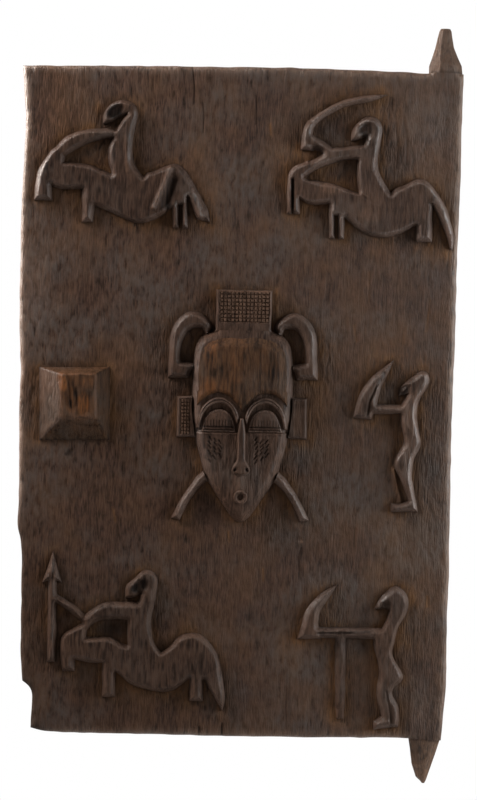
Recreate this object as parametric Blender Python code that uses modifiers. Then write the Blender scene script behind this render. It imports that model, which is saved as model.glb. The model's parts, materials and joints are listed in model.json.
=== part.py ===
"""Carved granary door leaf: a plank on two pintles, with its lock boss, mask, riders and walking figures.

Metres, +Z up. The front faces -Y and the hinge edge is at +X. The origin is the flat tip of the lower
pintle, and the pivot line through both pintles is the Z axis.
"""

import math

import bmesh
import bpy
from mathutils import Matrix, Vector

# Plank
LEAF_HEIGHT = 0.668
LEAF_THICKNESS = 0.032
HEAD_WIDTH = 0.440
FOOT_WIDTH = 0.426
HEAD_DROP = 0.006
FOOT_DROP = 0.003
PIVOT_INSET = 0.019
NOTCH_WIDTH = 0.012
NOTCH_HEIGHT = 0.038
NOTCH_SLOPE = 0.010
EDGE_BEVEL = 0.004

# Pintles
PINTLE_DIAMETER = 0.031
PINTLE_TIP_DIAMETER = 0.009
UPPER_PINTLE_LENGTH = 0.044
LOWER_PINTLE_LENGTH = 0.044
TENON_DIAMETER = 0.018
TENON_LENGTH = 0.040
PINTLE_FACETS = 12
UPPER_TAPER = ((0.14, 0.90), (0.36, 0.72), (0.60, 0.48), (0.84, 0.37))
LOWER_TAPER = ((0.14, 0.92), (0.36, 0.79), (0.60, 0.63), (0.84, 0.42))

# Fits
SEAT_GAP = 0.0003
TENON_CLEARANCE = 0.0003
CARVING_CLEARANCE = 0.0004

# Relief above the carved ground
FIGURE_RELIEF = 0.009
FIGURE_RIM = 0.0018
BOSS_RELIEF = 0.018
FACE_RELIEF = 0.013
FACE_RIM = 0.006
FOREHEAD_RELIEF = 0.005
FOREHEAD_RIM = 0.003
BROW_RELIEF = 0.004
EYELID_RELIEF = 0.0035
NOSE_RELIEF = 0.007
FEATURE_RIM = 0.0012
MOUTH_RELIEF = 0.006
MOUTH_DIAMETER = 0.015
MOUTH_HOLE = 0.006
CREST_RELIEF = 0.011
HORN_RELIEF = 0.010
EAR_RELIEF = 0.009

# Places on the carved ground: across from the pivot line, or from the latch edge, and from the head or foot
FIGURE_LEAN = math.radians(1.8)
MASK_LEAN = math.radians(0.7)
UPPER_LEFT_PLACE = (0.099, 0.103)
UPPER_RIGHT_PLACE = (0.072, 0.100)
LOWER_LEFT_PLACE = (0.115, 0.096)
MIDDLE_RIGHT_PLACE = (0.0415, 0.302)
LOWER_RIGHT_PLACE = (0.0715, 0.083)
MASK_PLACE = (0.192, 0.314)
BOSS_PLACE = (0.054, 0.3255)
BOSS_FOOT = (0.070, 0.073)
BOSS_TOP = (0.035, 0.043)
BOSS_TOP_SHIFT = (0.0055, 0.007)

CURVE_STEPS = 2
CUTTER_REACH = 0.06
SHARP = True

# Outlines from each motif's place, rightwards and upwards, in steps of this size. A third value marks a
# sharp corner.
CARVING_STEP = 0.001
UPPER_LEFT_HORSE = (
    (-88, -35, SHARP), (-86, -14), (-83, -3), (-75, 9), (-66, 22, SHARP), (-56, 10, SHARP),
    (-58, 3, SHARP), (-40, 2), (-25, -2), (-12, -8), (-4, -14, SHARP), (18, -8, SHARP), (32, -6),
    (43, -1), (53, 2), (61, -2), (70, -15), (78, -30), (86, -45), (88, -57, SHARP), (75, -54, SHARP),
    (69, -40), (66, -32, SHARP), (66, -63, SHARP), (60, -63, SHARP), (60, -40, SHARP), (57, -40, SHARP),
    (57, -63, SHARP), (51, -63, SHARP), (50, -43, SHARP), (40, -51), (31, -55), (21, -58), (10, -57),
    (-1, -52), (-14, -46), (-27, -41, SHARP), (-29, -57, SHARP), (-40, -57, SHARP), (-40, -24, SHARP),
    (-56, -24), (-65, -23), (-70, -20, SHARP), (-70, -35, SHARP),
)
UPPER_LEFT_RIDER = (
    (-7, -18, SHARP), (-12, -3), (-14, 10), (-13, 20), (-9, 27, SHARP), (-22, 25), (-35, 21), (-45, 16),
    (-57, 9, SHARP), (-66, 18, SHARP), (-57, 28), (-44, 34), (-31, 36), (-17, 37), (-6, 35, SHARP),
    (0, 45), (5, 51, SHARP), (-4, 46), (-10, 43), (-19, 41, SHARP), (-18, 53), (-8, 63), (0, 65), (8, 64),
    (14, 60), (16, 50), (14, 41), (11, 25), (11, 10), (14, -1), (22, -11, SHARP), (16, -19), (4, -22),
)
UPPER_RIGHT_HORSE = (
    (-83, -44, SHARP), (-83, -20), (-82, -7), (-80, 0), (-74, 5, SHARP), (-60, 10, SHARP), (-62, -10, SHARP),
    (-50, -11), (-35, -14), (-20, -20), (-8, -24, SHARP), (18, -21, SHARP), (32, -16), (42, -11), (51, -9),
    (58, -12), (67, -23), (76, -37), (81, -52), (84, -67), (83, -80, SHARP), (80, -80, SHARP), (76, -65),
    (70, -52), (63, -36, SHARP), (62, -72, SHARP), (46, -72, SHARP), (46, -56, SHARP), (34, -62),
    (21, -67), (6, -67), (-6, -63), (-16, -56), (-25, -48, SHARP), (-26, -69, SHARP), (-32, -69, SHARP),
    (-32, -46, SHARP), (-35, -46, SHARP), (-35, -69, SHARP), (-41, -69, SHARP), (-41, -34, SHARP),
    (-51, -35), (-62, -34), (-70, -29, SHARP), (-70, -44, SHARP),
)
UPPER_RIGHT_RIDER = (
    (-11, -23, SHARP), (-13, -10), (-13, 3), (-12, 10, SHARP), (-24, 10), (-38, 6), (-52, 1),
    (-65, -7, SHARP), (-64, 8, SHARP), (-57, 10), (-48, 16, SHARP), (-60, 20, SHARP), (-60, 38, SHARP),
    (-52, 32), (-44, 28),
    (-37, 22, SHARP), (-24, 23), (-6, 25, SHARP), (-4, 29), (-4, 33, SHARP), (-10, 30), (-19, 29, SHARP),
    (-18, 39), (-11, 48), (-4, 53), (5, 53), (11, 47), (13, 39), (11, 29), (9, 19), (8, 9), (9, -1),
    (14, -12), (21, -23, SHARP), (15, -31), (2, -33),
)
UPPER_RIGHT_BLADE = (
    (-69, 20, SHARP), (-66, 43), (-57, 53), (-44, 61), (-29, 69), (-14, 73), (1, 75), (18, 75, SHARP),
    (1, 68), (-11, 66), (-27, 62), (-39, 56), (-52, 47), (-57, 39), (-57, 19, SHARP),
)
LOWER_LEFT_HORSE = (
    (-71, -36, SHARP), (-73, -24), (-73, -8), (-71, 0), (-61, 6), (-48, 14, SHARP), (-43, 5, SHARP),
    (-47, -2, SHARP), (-35, -2), (-23, -2), (-12, -8), (-3, -11, SHARP), (22, -13, SHARP), (34, -14),
    (43, -3), (57, 2), (68, 0), (77, -8), (84, -19), (88, -36), (91, -52), (92, -65), (89, -76, SHARP),
    (87, -72), (77, -56), (71, -45, SHARP), (70, -66, SHARP), (56, -66, SHARP), (56, -44, SHARP),
    (41, -55), (27, -57), (11, -54), (-4, -48), (-17, -37, SHARP), (-18, -62, SHARP), (-31, -62, SHARP),
    (-31, -28, SHARP), (-43, -28), (-52, -26), (-58, -25, SHARP), (-58, -36, SHARP),
)
LOWER_LEFT_RIDER = (
    (-5, -16, SHARP), (-6, 0), (-6, 15, SHARP), (-30, 15), (-40, 11), (-46, 5, SHARP), (-51, 13, SHARP),
    (-62, 22), (-73, 30, SHARP), (-78, 33, SHARP), (-78, 42, SHARP), (-65, 34), (-56, 28), (-48, 20, SHARP),
    (-40, 27), (-29, 32), (-20, 33), (-8, 33), (4, 33, SHARP), (6, 36), (8, 42, SHARP), (1, 37),
    (-8, 37, SHARP), (-7, 50), (2, 57), (9, 64), (17, 65), (23, 60), (25, 52), (23, 40), (21, 28), (18, 15),
    (19, 2), (21, -8), (28, -17, SHARP), (20, -23), (5, -22),
)
LOWER_LEFT_SPEAR = (
    (-80, 84, SHARP), (-71, 52, SHARP), (-76, 54, SHARP), (-77, -27, SHARP), (-86, -27, SHARP),
    (-85, 54, SHARP), (-91, 52, SHARP),
)
MIDDLE_RIGHT_FIGURE = (
    (7, 41, SHARP), (8, 48), (15, 56), (22, 61), (28, 66), (33, 66), (38, 59), (36, 51), (31, 43), (26, 34),
    (25, 26), (25, 17), (27, 5), (29, -5), (27, -13), (22, -22), (21, -30), (20, -41), (22, -53), (24, -63),
    (26, -75, SHARP), (-1, -75, SHARP), (-1, -66, SHARP), (8, -67), (16, -64, SHARP), (12, -51), (7, -40),
    (3, -31), (3, -22), (9, -12), (12, -5), (11, 3), (9, 11), (8, 23, SHARP), (-20, 23, SHARP),
    (-20, 33, SHARP), (9, 32, SHARP), (13, 38), (16, 43, SHARP),
)
MIDDLE_RIGHT_BLADE = (
    (-39, 19, SHARP), (-35, 36), (-29, 49), (-20, 60), (-10, 68), (2, 77, SHARP), (-3, 65), (-9, 53),
    (-13, 42), (-15, 33), (-18, 24), (-21, 17, SHARP),
)
LOWER_RIGHT_FIGURE = (
    (19, 46, SHARP), (24, 55), (31, 63), (40, 69), (48, 65), (53, 57), (53, 47), (49, 37), (44, 29), (41, 20),
    (39, 10), (37, 3), (40, -6), (46, -16), (48, -24), (43, -29), (37, -35), (38, -42), (43, -50), (44, -58),
    (43, -72, SHARP), (18, -75, SHARP), (18, -66, SHARP), (26, -61, SHARP), (24, -53), (22, -45), (21, -35),
    (22, -29), (24, -17), (22, -5), (19, 6), (18, 16, SHARP), (-44, 17, SHARP), (-44, 28, SHARP),
    (27, 27, SHARP), (32, 37), (34, 45, SHARP),
)
LOWER_RIGHT_BLADE = (
    (-58, 16, SHARP), (-53, 32), (-50, 44), (-42, 54), (-31, 64), (-18, 70, SHARP), (-22, 63), (-31, 50),
    (-35, 43), (-37, 31), (-35, 16, SHARP),
)
LOWER_RIGHT_POST = ((-20, 20, SHARP), (-9, 20, SHARP), (-10, -66, SHARP), (-20, -66, SHARP))

# The mask is even about its own middle, so these run up its right-hand side.
FACE_SIDE = (
    (7, -99), (14, -90), (22, -78), (31, -65), (38, -50), (41, -38), (45, -24), (48, -8), (50, 10), (50, 30),
    (50, 48), (49, 65), (46, 77), (39, 85), (28, 89, SHARP),
)
FACE_CHIN = (0, -102)
FOREHEAD_SIDE = (
    (12, 23), (24, 27), (36, 23), (45, 14, SHARP), (45, 30), (45, 48), (44, 62), (40, 73), (28, 81),
)
FOREHEAD_DIP = (0, 8, SHARP)
FOREHEAD_TOP = (0, 83)
HORN = (
    (31, 91, SHARP), (32, 97, SHARP), (38, 103), (47, 108), (57, 107), (67, 98), (73, 85), (74, 69), (75, 53),
    (75, 41, SHARP), (54, 41, SHARP), (48, 56, SHARP), (62, 58, SHARP), (62, 69), (59, 82), (51, 91),
    (41, 91, SHARP), (38, 84, SHARP),
)
EAR = ((46, 24, SHARP), (65, 23, SHARP), (65, -18, SHARP), (45, -18, SHARP))
LEG = (
    (30, -50, SHARP), (38, -51), (50, -65), (60, -80), (69, -99, SHARP), (60, -101, SHARP), (53, -86),
    (44, -72), (34, -62, SHARP), (28, -62, SHARP),
)
BROW = (
    (2, 0, SHARP), (6, 12), (14, 20), (24, 23), (35, 18), (42, 8), (46, -9, SHARP), (42, -9, SHARP), (39, 5),
    (33, 13), (24, 17), (15, 15), (9, 8), (5, -4, SHARP),
)
EYELID = (
    (6, -12, SHARP), (9, 2), (15, 9), (24, 11), (32, 8), (37, 1), (40, -12, SHARP),
)
NOSE_SIDE = ((8, -55), (9, -47), (4, -40, SHARP), (4, -14, SHARP), (2, 2, SHARP))
MOUTH_PLACE = (0, -76.5)
CREST = ((-28, 91, SHARP), (28, 91, SHARP), (28, 130, SHARP), (-28, 130, SHARP))

DARK_WOOD = (0.042, 0.027, 0.019)
WORN_WOOD = (0.085, 0.047, 0.024)


def clear_scene():
    """Empties the scene that Blender starts with."""
    for obj in list(bpy.data.objects):
        bpy.data.objects.remove(obj)


def wood(name, colour, roughness):
    """A plain wood with the given colour."""
    material = bpy.data.materials.new(name)
    material.use_nodes = True
    shader = material.node_tree.nodes["Principled BSDF"]
    shader.inputs["Base Color"].default_value = (*colour, 1.0)
    shader.inputs["Roughness"].default_value = roughness
    shader.inputs["Metallic"].default_value = 0.0
    return material


def collection(name):
    """A new collection in the scene."""
    made = bpy.data.collections.new(name)
    bpy.context.scene.collection.children.link(made)
    return made


def mirrored(points):
    """The same outline on the other side of the mask, still running the same way round."""
    return tuple((-point[0], *point[1:]) for point in reversed(points))


def both_sides(side, low=(), high=()):
    """A closed outline from its right-hand side, with any points on its middle line."""
    return (*low, *side, *high, *mirrored(side))


def prism(name, points, height, grow=0.0):
    """A closed mesh of one height over an outline, with its foot at Z = 0."""
    curve = bpy.data.curves.new(name, "CURVE")
    curve.dimensions = "2D"
    curve.fill_mode = "BOTH"
    curve.resolution_u = CURVE_STEPS
    curve.extrude = height / 2
    spline = curve.splines.new("BEZIER")
    spline.bezier_points.add(len(points) - 1)
    for knot, (across, up, *sharp) in zip(spline.bezier_points, points):
        knot.co = (across * CARVING_STEP, up * CARVING_STEP, 0.0)
        knot.handle_left_type = "VECTOR" if sharp else "AUTO"
        knot.handle_right_type = knot.handle_left_type
    spline.use_cyclic_u = True
    source = bpy.data.objects.new(name, curve)
    bpy.context.scene.collection.objects.link(source)
    bpy.context.view_layer.update()
    graph = bpy.context.evaluated_depsgraph_get()
    mesh = bpy.data.meshes.new_from_object(source.evaluated_get(graph))
    mesh.name = name
    bpy.data.objects.remove(source)
    bpy.data.curves.remove(curve)
    shape = bmesh.new()
    shape.from_mesh(mesh)
    bmesh.ops.remove_doubles(shape, verts=shape.verts, dist=1e-6)
    bmesh.ops.recalc_face_normals(shape, faces=shape.faces)
    bmesh.ops.translate(shape, verts=shape.verts, vec=(0.0, 0.0, height / 2))
    if grow:
        spread(shape, grow)
    shape.to_mesh(mesh)
    shape.free()
    return mesh


def spread(shape, distance):
    """Moves the upright sides of a prism outwards by the distance."""
    moves = {}
    for vert in shape.verts:
        sides = [face.normal for face in vert.link_faces if abs(face.normal.z) < 0.5]
        distinct = [sides[0]]
        for normal in sides[1:]:
            if all(normal.dot(other) < 0.9999 for other in distinct):
                distinct.append(normal)
        middle = sum(distinct, Vector()).normalized()
        moves[vert] = middle * distance / max(middle.dot(distinct[0]), 0.35)
    for vert, move in moves.items():
        vert.co += move


def ease_rim(mesh, width, segments=1, both=False):
    """Bevels the upper rim of a prism, or both its rims."""
    shape = bmesh.new()
    shape.from_mesh(mesh)
    top = max(vert.co.z for vert in shape.verts)
    rim = []
    for edge in shape.edges:
        level = abs(edge.verts[0].co.z - edge.verts[1].co.z) < 1e-6
        raised = edge.verts[0].co.z > top / 2
        if level and (raised or both) and edge.calc_face_angle(0.0) > 0.5:
            rim.append(edge)
    bmesh.ops.bevel(
        shape, geom=rim, offset=width, offset_type="OFFSET", segments=segments, profile=0.5,
        affect="EDGES", clamp_overlap=True,
    )
    shape.to_mesh(mesh)
    shape.free()


class Leaf:
    """The collections, materials and carved ground that the pieces share."""

    def __init__(self):
        self.parts = collection("granary_door")
        self.cutters = collection("granary_door_cutters")
        self.dark = wood("dark_patinated_wood", DARK_WOOD, 0.55)
        self.worn = wood("worn_wood", WORN_WOOD, 0.5)
        front = (0.0, -LEAF_THICKNESS / 2, 0.0)
        self.ground = self.empty("carved_ground", None, front, (math.pi / 2, 0.0, 0.0))

    def empty(self, name, parent, location, rotation):
        made = bpy.data.objects.new(name, None)
        self.parts.objects.link(made)
        made.parent = parent
        made.location = location
        made.rotation_euler = rotation
        return made

    def motif(self, name, across, up, lean):
        """An empty on the carved ground that a motif's pieces hang from."""
        return self.empty(name, self.ground, (across, up, SEAT_GAP), (0.0, 0.0, lean))

    def piece(self, name, mesh, parent=None, lift=0.0, material=None):
        """One named piece of the leaf."""
        made = bpy.data.objects.new(name, mesh)
        self.parts.objects.link(made)
        made.parent = parent
        made.location.z = lift
        mesh.materials.clear()
        mesh.materials.append(material or self.dark)
        return made

    def carving(self, name, points, motif, height, rim, lift=0.0, segments=1, material=None):
        """A carved form with an eased rim, standing on the ground or on a face."""
        mesh = prism(name, points, height)
        ease_rim(mesh, rim, segments)
        return self.piece(name, mesh, motif, lift, material)

    def cutter(self, name, mesh, parent=None, location=(0.0, 0.0, 0.0)):
        made = bpy.data.objects.new(name, mesh)
        self.cutters.objects.link(made)
        made.parent = parent
        made.location = location
        made.hide_render = True
        made.display_type = "WIRE"
        return made

    def room_for(self, name, points, motif):
        """A cutter that leaves the carving clearance all round another form."""
        mesh = prism(name, points, CUTTER_REACH, CARVING_CLEARANCE)
        return self.cutter(name, mesh, motif, (0.0, 0.0, -CUTTER_REACH / 2))


def cut(piece, cutter):
    """Cuts one piece with a cutter."""
    modifier = piece.modifiers.new(cutter.name, "BOOLEAN")
    modifier.operation = "DIFFERENCE"
    modifier.solver = "EXACT"
    modifier.object = cutter


def cone(radius_low, radius_high, low, high, facets):
    """A closed cone or cylinder about Z between two heights."""
    mesh = bpy.data.meshes.new("cone")
    shape = bmesh.new()
    bmesh.ops.create_cone(
        shape, cap_ends=True, segments=facets, radius1=radius_low, radius2=radius_high, depth=high - low,
        matrix=Matrix.Translation((0.0, 0.0, (low + high) / 2)),
    )
    shape.to_mesh(mesh)
    shape.free()
    return mesh


def turned(name, profile, facets):
    """A mesh turned about Z from a profile that runs down its outer side."""
    mesh = bpy.data.meshes.new(name)
    edges = [(low, low + 1) for low in range(len(profile) - 1)]
    mesh.from_pydata([(radius, 0.0, height) for radius, height in profile], edges, [])
    made = bpy.data.objects.new(name, mesh)
    screw = made.modifiers.new("turn", "SCREW")
    screw.steps = facets
    screw.render_steps = facets
    screw.use_merge_vertices = True
    screw.merge_threshold = 0.0001
    screw.use_normal_calculate = True
    bpy.context.scene.collection.objects.link(made)
    bpy.context.view_layer.update()
    graph = bpy.context.evaluated_depsgraph_get()
    result = bpy.data.meshes.new_from_object(made.evaluated_get(graph))
    bpy.data.objects.remove(made)
    shape = bmesh.new()
    shape.from_mesh(result)
    bmesh.ops.remove_doubles(shape, verts=shape.verts, dist=1e-6)
    bmesh.ops.recalc_face_normals(shape, faces=shape.faces)
    shape.to_mesh(result)
    shape.free()
    result.name = name
    return result


def pintle_profile(length, shares):
    """Radius and height of a pintle from its tip down to the end of its tenon, with its shoulder at zero."""
    base = PINTLE_DIAMETER / 2
    tip = PINTLE_TIP_DIAMETER / 2
    taper = [(max(base * share, tip), length * rise) for rise, share in reversed(shares)]
    tenon = TENON_DIAMETER / 2
    return [
        (0.0, length), (tip, length), *taper, (base, SEAT_GAP), (tenon, SEAT_GAP), (tenon, -TENON_LENGTH),
        (0.0, -TENON_LENGTH),
    ]


def head_height():
    """Height of the leaf's head above the tip of the lower pintle."""
    return LOWER_PINTLE_LENGTH + LEAF_HEIGHT


def latch_edge(height):
    """Where the leaning latch edge stands at a height, from the pivot line."""
    rise = (height - LOWER_PINTLE_LENGTH) / LEAF_HEIGHT
    return PIVOT_INSET - FOOT_WIDTH - (HEAD_WIDTH - FOOT_WIDTH) * rise


def build_plank(leaf):
    """The hewn plank, with a mortise for each pintle's tenon."""
    foot = LOWER_PINTLE_LENGTH
    head = head_height()
    notch = foot + NOTCH_HEIGHT
    corners = (
        (PIVOT_INSET, foot), (PIVOT_INSET, head), (PIVOT_INSET - HEAD_WIDTH / 2, head),
        (latch_edge(head), head - HEAD_DROP), (latch_edge(notch + NOTCH_SLOPE), notch + NOTCH_SLOPE),
        (latch_edge(notch) + NOTCH_WIDTH, notch), (latch_edge(foot) + NOTCH_WIDTH, foot - FOOT_DROP * 0.4),
        (latch_edge(foot) + NOTCH_WIDTH * 4, foot - FOOT_DROP), (-FOOT_WIDTH / 2, foot - FOOT_DROP),
        (-PINTLE_DIAMETER, foot),
    )
    mesh = prism("plank", [(x / CARVING_STEP, z / CARVING_STEP, SHARP) for x, z in corners], LEAF_THICKNESS)
    ease_rim(mesh, EDGE_BEVEL, 2, True)
    plank = leaf.piece("plank", mesh, leaf.ground, -LEAF_THICKNESS)
    radius = TENON_DIAMETER / 2 + TENON_CLEARANCE
    depth = TENON_LENGTH + TENON_CLEARANCE
    for name, mouth in (("lower_mortise", foot), ("upper_mortise", head)):
        bore = cone(radius, radius, mouth - depth, mouth + depth, PINTLE_FACETS)
        cut(plank, leaf.cutter(name, bore))
    return plank


def build_pintles(leaf):
    """The two pivot pins, each with a tenon in the plank's end."""
    profile = pintle_profile(UPPER_PINTLE_LENGTH, UPPER_TAPER)
    upper = leaf.piece("upper_pintle", turned("upper_pintle", profile, PINTLE_FACETS))
    upper.location.z = head_height()
    profile = pintle_profile(LOWER_PINTLE_LENGTH, LOWER_TAPER)
    lower = leaf.piece("lower_pintle", turned("lower_pintle", profile, PINTLE_FACETS))
    lower.location.z = LOWER_PINTLE_LENGTH
    lower.rotation_euler.x = math.pi


def build_boss(leaf):
    """The square boss by the latch edge, with four slopes of unlike width."""
    height = LOWER_PINTLE_LENGTH + BOSS_PLACE[1]
    motif = leaf.motif("boss", latch_edge(height) + BOSS_PLACE[0], height, FIGURE_LEAN)
    mesh = bpy.data.meshes.new("lock_boss")
    shape = bmesh.new()
    bmesh.ops.create_cube(shape, size=1.0, matrix=Matrix.Translation((0.0, 0.0, 0.5)))
    for vert in shape.verts:
        raised = vert.co.z > 0.5
        size = BOSS_TOP if raised else BOSS_FOOT
        shift = BOSS_TOP_SHIFT if raised else (0.0, 0.0)
        vert.co = (vert.co.x * size[0] + shift[0], vert.co.y * size[1] + shift[1], vert.co.z * BOSS_RELIEF)
    shape.to_mesh(mesh)
    shape.free()
    leaf.piece("lock_boss", mesh, motif, material=leaf.worn)


def build_mask(leaf):
    """The mask, its crest, horns, ears and legs, and the features on its face."""
    motif = leaf.motif("mask", -MASK_PLACE[0], LOWER_PINTLE_LENGTH + MASK_PLACE[1], MASK_LEAN)
    face = both_sides(FACE_SIDE, (FACE_CHIN,))
    leaf.carving("mask_face", face, motif, FACE_RELIEF, FACE_RIM, segments=2)
    room = leaf.room_for("room_for_face", face, motif)
    crest = leaf.carving("mask_crest", CREST, motif, CREST_RELIEF, FIGURE_RIM)
    cut(crest, room)
    crest_room = leaf.room_for("room_for_crest", CREST, motif)
    for side, turn in (("left", mirrored), ("right", tuple)):
        horn = leaf.carving(f"mask_{side}_horn", turn(HORN), motif, HORN_RELIEF, FIGURE_RIM)
        ear = leaf.carving(f"mask_{side}_ear", turn(EAR), motif, EAR_RELIEF, FIGURE_RIM)
        leg = leaf.carving(f"mask_{side}_leg", turn(LEG), motif, FIGURE_RELIEF, FIGURE_RIM)
        cut(horn, room)
        cut(horn, crest_room)
        cut(ear, room)
        cut(leg, room)
    lift = FACE_RELIEF + SEAT_GAP
    forehead = both_sides(FOREHEAD_SIDE, (FOREHEAD_DIP,), (FOREHEAD_TOP,))
    leaf.carving("mask_forehead", forehead, motif, FOREHEAD_RELIEF, FOREHEAD_RIM, lift, 2, leaf.worn)
    nose = both_sides(NOSE_SIDE)
    leaf.carving("mask_nose", nose, motif, NOSE_RELIEF, FEATURE_RIM, lift)
    nose_room = leaf.room_for("room_for_nose", nose, motif)
    for side, turn in (("left", mirrored), ("right", tuple)):
        brow = leaf.carving(f"mask_{side}_brow", turn(BROW), motif, BROW_RELIEF, FEATURE_RIM, lift)
        cut(brow, nose_room)
        leaf.carving(f"mask_{side}_eyelid", turn(EYELID), motif, EYELID_RELIEF, FEATURE_RIM, lift)
    outer = MOUTH_DIAMETER / 2
    hole = MOUTH_HOLE / 2
    ring = [
        (outer, MOUTH_RELIEF * 0.6), (outer, 0.0), (hole, 0.0), (hole, MOUTH_RELIEF * 0.7),
        ((outer + hole) / 2, MOUTH_RELIEF), (outer, MOUTH_RELIEF * 0.6),
    ]
    mouth = leaf.piece("mask_mouth", turned("mask_mouth", ring, PINTLE_FACETS), motif, lift)
    mouth.location.x = MOUTH_PLACE[0] * CARVING_STEP
    mouth.location.y = MOUTH_PLACE[1] * CARVING_STEP


def build_scene(leaf, name, place, pieces):
    """A group of carved figures, where each later piece gives way to the earlier ones.

    Args:
        leaf: The shared leaf.
        name: Name of the group, which starts each piece's name.
        place: Where the group's outlines are measured from.
        pieces: Name and outline of each piece.
    """
    motif = leaf.motif(name, *place, FIGURE_LEAN)
    rooms = []
    for kind, points in pieces:
        made = leaf.carving(f"{name}_{kind}", points, motif, FIGURE_RELIEF, FIGURE_RIM)
        for room in rooms:
            cut(made, room)
        if kind != pieces[-1][0]:
            rooms.append(leaf.room_for(f"room_for_{name}_{kind}", points, motif))


def build_figures(leaf):
    """The three riders and the two walking figures."""
    foot = LOWER_PINTLE_LENGTH
    head = head_height()
    upper = head - UPPER_LEFT_PLACE[1]
    lower = foot + LOWER_LEFT_PLACE[1]
    build_scene(
        leaf, "upper_left", (latch_edge(upper) + UPPER_LEFT_PLACE[0], upper),
        (("rider", UPPER_LEFT_RIDER), ("horse", UPPER_LEFT_HORSE)),
    )
    build_scene(
        leaf, "upper_right", (-UPPER_RIGHT_PLACE[0], head - UPPER_RIGHT_PLACE[1]),
        (("blade", UPPER_RIGHT_BLADE), ("rider", UPPER_RIGHT_RIDER), ("horse", UPPER_RIGHT_HORSE)),
    )
    build_scene(
        leaf, "lower_left", (latch_edge(lower) + LOWER_LEFT_PLACE[0], lower),
        (("spear", LOWER_LEFT_SPEAR), ("rider", LOWER_LEFT_RIDER), ("horse", LOWER_LEFT_HORSE)),
    )
    build_scene(
        leaf, "middle_right", (-MIDDLE_RIGHT_PLACE[0], foot + MIDDLE_RIGHT_PLACE[1]),
        (("blade", MIDDLE_RIGHT_BLADE), ("figure", MIDDLE_RIGHT_FIGURE)),
    )
    build_scene(
        leaf, "lower_right", (-LOWER_RIGHT_PLACE[0], foot + LOWER_RIGHT_PLACE[1]),
        (("blade", LOWER_RIGHT_BLADE), ("figure", LOWER_RIGHT_FIGURE), ("post", LOWER_RIGHT_POST)),
    )


def main():
    clear_scene()
    leaf = Leaf()
    build_plank(leaf)
    build_pintles(leaf)
    build_boss(leaf)
    build_mask(leaf)
    build_figures(leaf)


main()
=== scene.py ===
"""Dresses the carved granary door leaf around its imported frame.

The carving is worked in millimetres: across and up the leaf, and in height above its carved ground.
"""

from __future__ import annotations

import json
import logging
import math
from collections.abc import Callable, Sequence
from dataclasses import dataclass, field
from enum import Enum

import bmesh
import bpy
import numpy as np
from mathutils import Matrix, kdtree
from mathutils.geometry import delaunay_2d_cdt

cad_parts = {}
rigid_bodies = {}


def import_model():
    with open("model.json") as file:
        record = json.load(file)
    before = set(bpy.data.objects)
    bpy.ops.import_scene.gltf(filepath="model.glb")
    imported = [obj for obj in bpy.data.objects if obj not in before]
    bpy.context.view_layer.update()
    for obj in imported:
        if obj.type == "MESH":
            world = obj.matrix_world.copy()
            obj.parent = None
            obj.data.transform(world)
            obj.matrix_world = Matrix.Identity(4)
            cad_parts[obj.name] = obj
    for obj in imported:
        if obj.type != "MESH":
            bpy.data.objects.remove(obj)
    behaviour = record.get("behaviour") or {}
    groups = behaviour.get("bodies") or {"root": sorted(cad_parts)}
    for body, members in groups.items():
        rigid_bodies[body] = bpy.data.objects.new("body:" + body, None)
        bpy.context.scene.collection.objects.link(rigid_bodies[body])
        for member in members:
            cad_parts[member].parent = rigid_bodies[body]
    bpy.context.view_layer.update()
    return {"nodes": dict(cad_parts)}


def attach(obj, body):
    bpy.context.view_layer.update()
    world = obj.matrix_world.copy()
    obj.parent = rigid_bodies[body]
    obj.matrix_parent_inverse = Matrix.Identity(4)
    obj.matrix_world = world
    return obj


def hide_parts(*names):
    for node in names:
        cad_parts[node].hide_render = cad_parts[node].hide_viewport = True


LOG = logging.getLogger("granary_door")

MM = 0.001
BODY = "root"

# The picture holds a millimetre of the leaf to a pixel.
PICTURE_HEIGHT = 800
PICTURE_MIDDLE = (238.5, 400.0)
PICTURE_PIVOT = (422.5, 784.0)
PICTURE_LEAN = math.radians(1.8)

GROUND_DEPTH = 16.0
HIDDEN_FOOT = -1.8
MERGE = 1e-6
FLAT = 10 * MERGE
NOISE_CELLS = 61
# Colour shares kept on the meshes: wear; soot, which also paints shade into outlines, cuts and hollows; gloss, which
# also paints a paler sheen.
SHARES = ("wear", "soot", "gloss")

# How outlines are divided, eased and filled.
CLOSE_STEP = 0.3
EDGE_STEP = 0.4
CORNER = math.radians(42)
CREASE = math.radians(50)
SLIVER_TURN = math.radians(100)
SLIVER_REACH = 3.0
MEETING = 0.9
OVERLAP = 0.35
EASING_ROUNDS = 12
SHIFT_ROUNDS = 3
LINE_PARTS = 3
ROW_KEPT = 0.93
ROW_RISE = 0.866
SCATTER = 0.14
RIM_GAP = 0.55
FINE_ROWS = (0.4, 0.9, 1.5)
BROAD_ROWS = (0.5, 1.2, 2.0, 3.0, 4.2)

# How the patterns of the wood are mixed.
# The wood turns greyer and lighter towards the hinge side.
LATCH_SIDE, HINGE_SIDE, HINGE_GREYING = -0.3, 0.03, 0.35
FIBRE_TONE, MOTTLE_TONE = 0.55, 0.45
BREAKING = (0.5, 0.5, 0.25)
RUBBED_WEAR, RUBBED_BLOTCH = 1.2, 0.26
# How strongly gloss blends the paler sheen colour into the base: a painted highlight.
PAINTED_SHEEN = 0.9
COAT_ROUGHNESS = 0.34
HEWN_BUMP, GRAIN_BUMP = (0.0012, 0.55), (0.0006, 0.65)
MIX_FIRST, MIX_SECOND, MIX_RESULT = 6, 7, 2

Array = np.ndarray
Tree = kdtree.KDTree
Socket = bpy.types.NodeSocket
Nodes = dict[str, bpy.types.Object]
Pair = tuple[float, float]
Place = tuple[float, float]
Point = tuple[float, float, float]
Colour = tuple[float, float, float]


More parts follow.
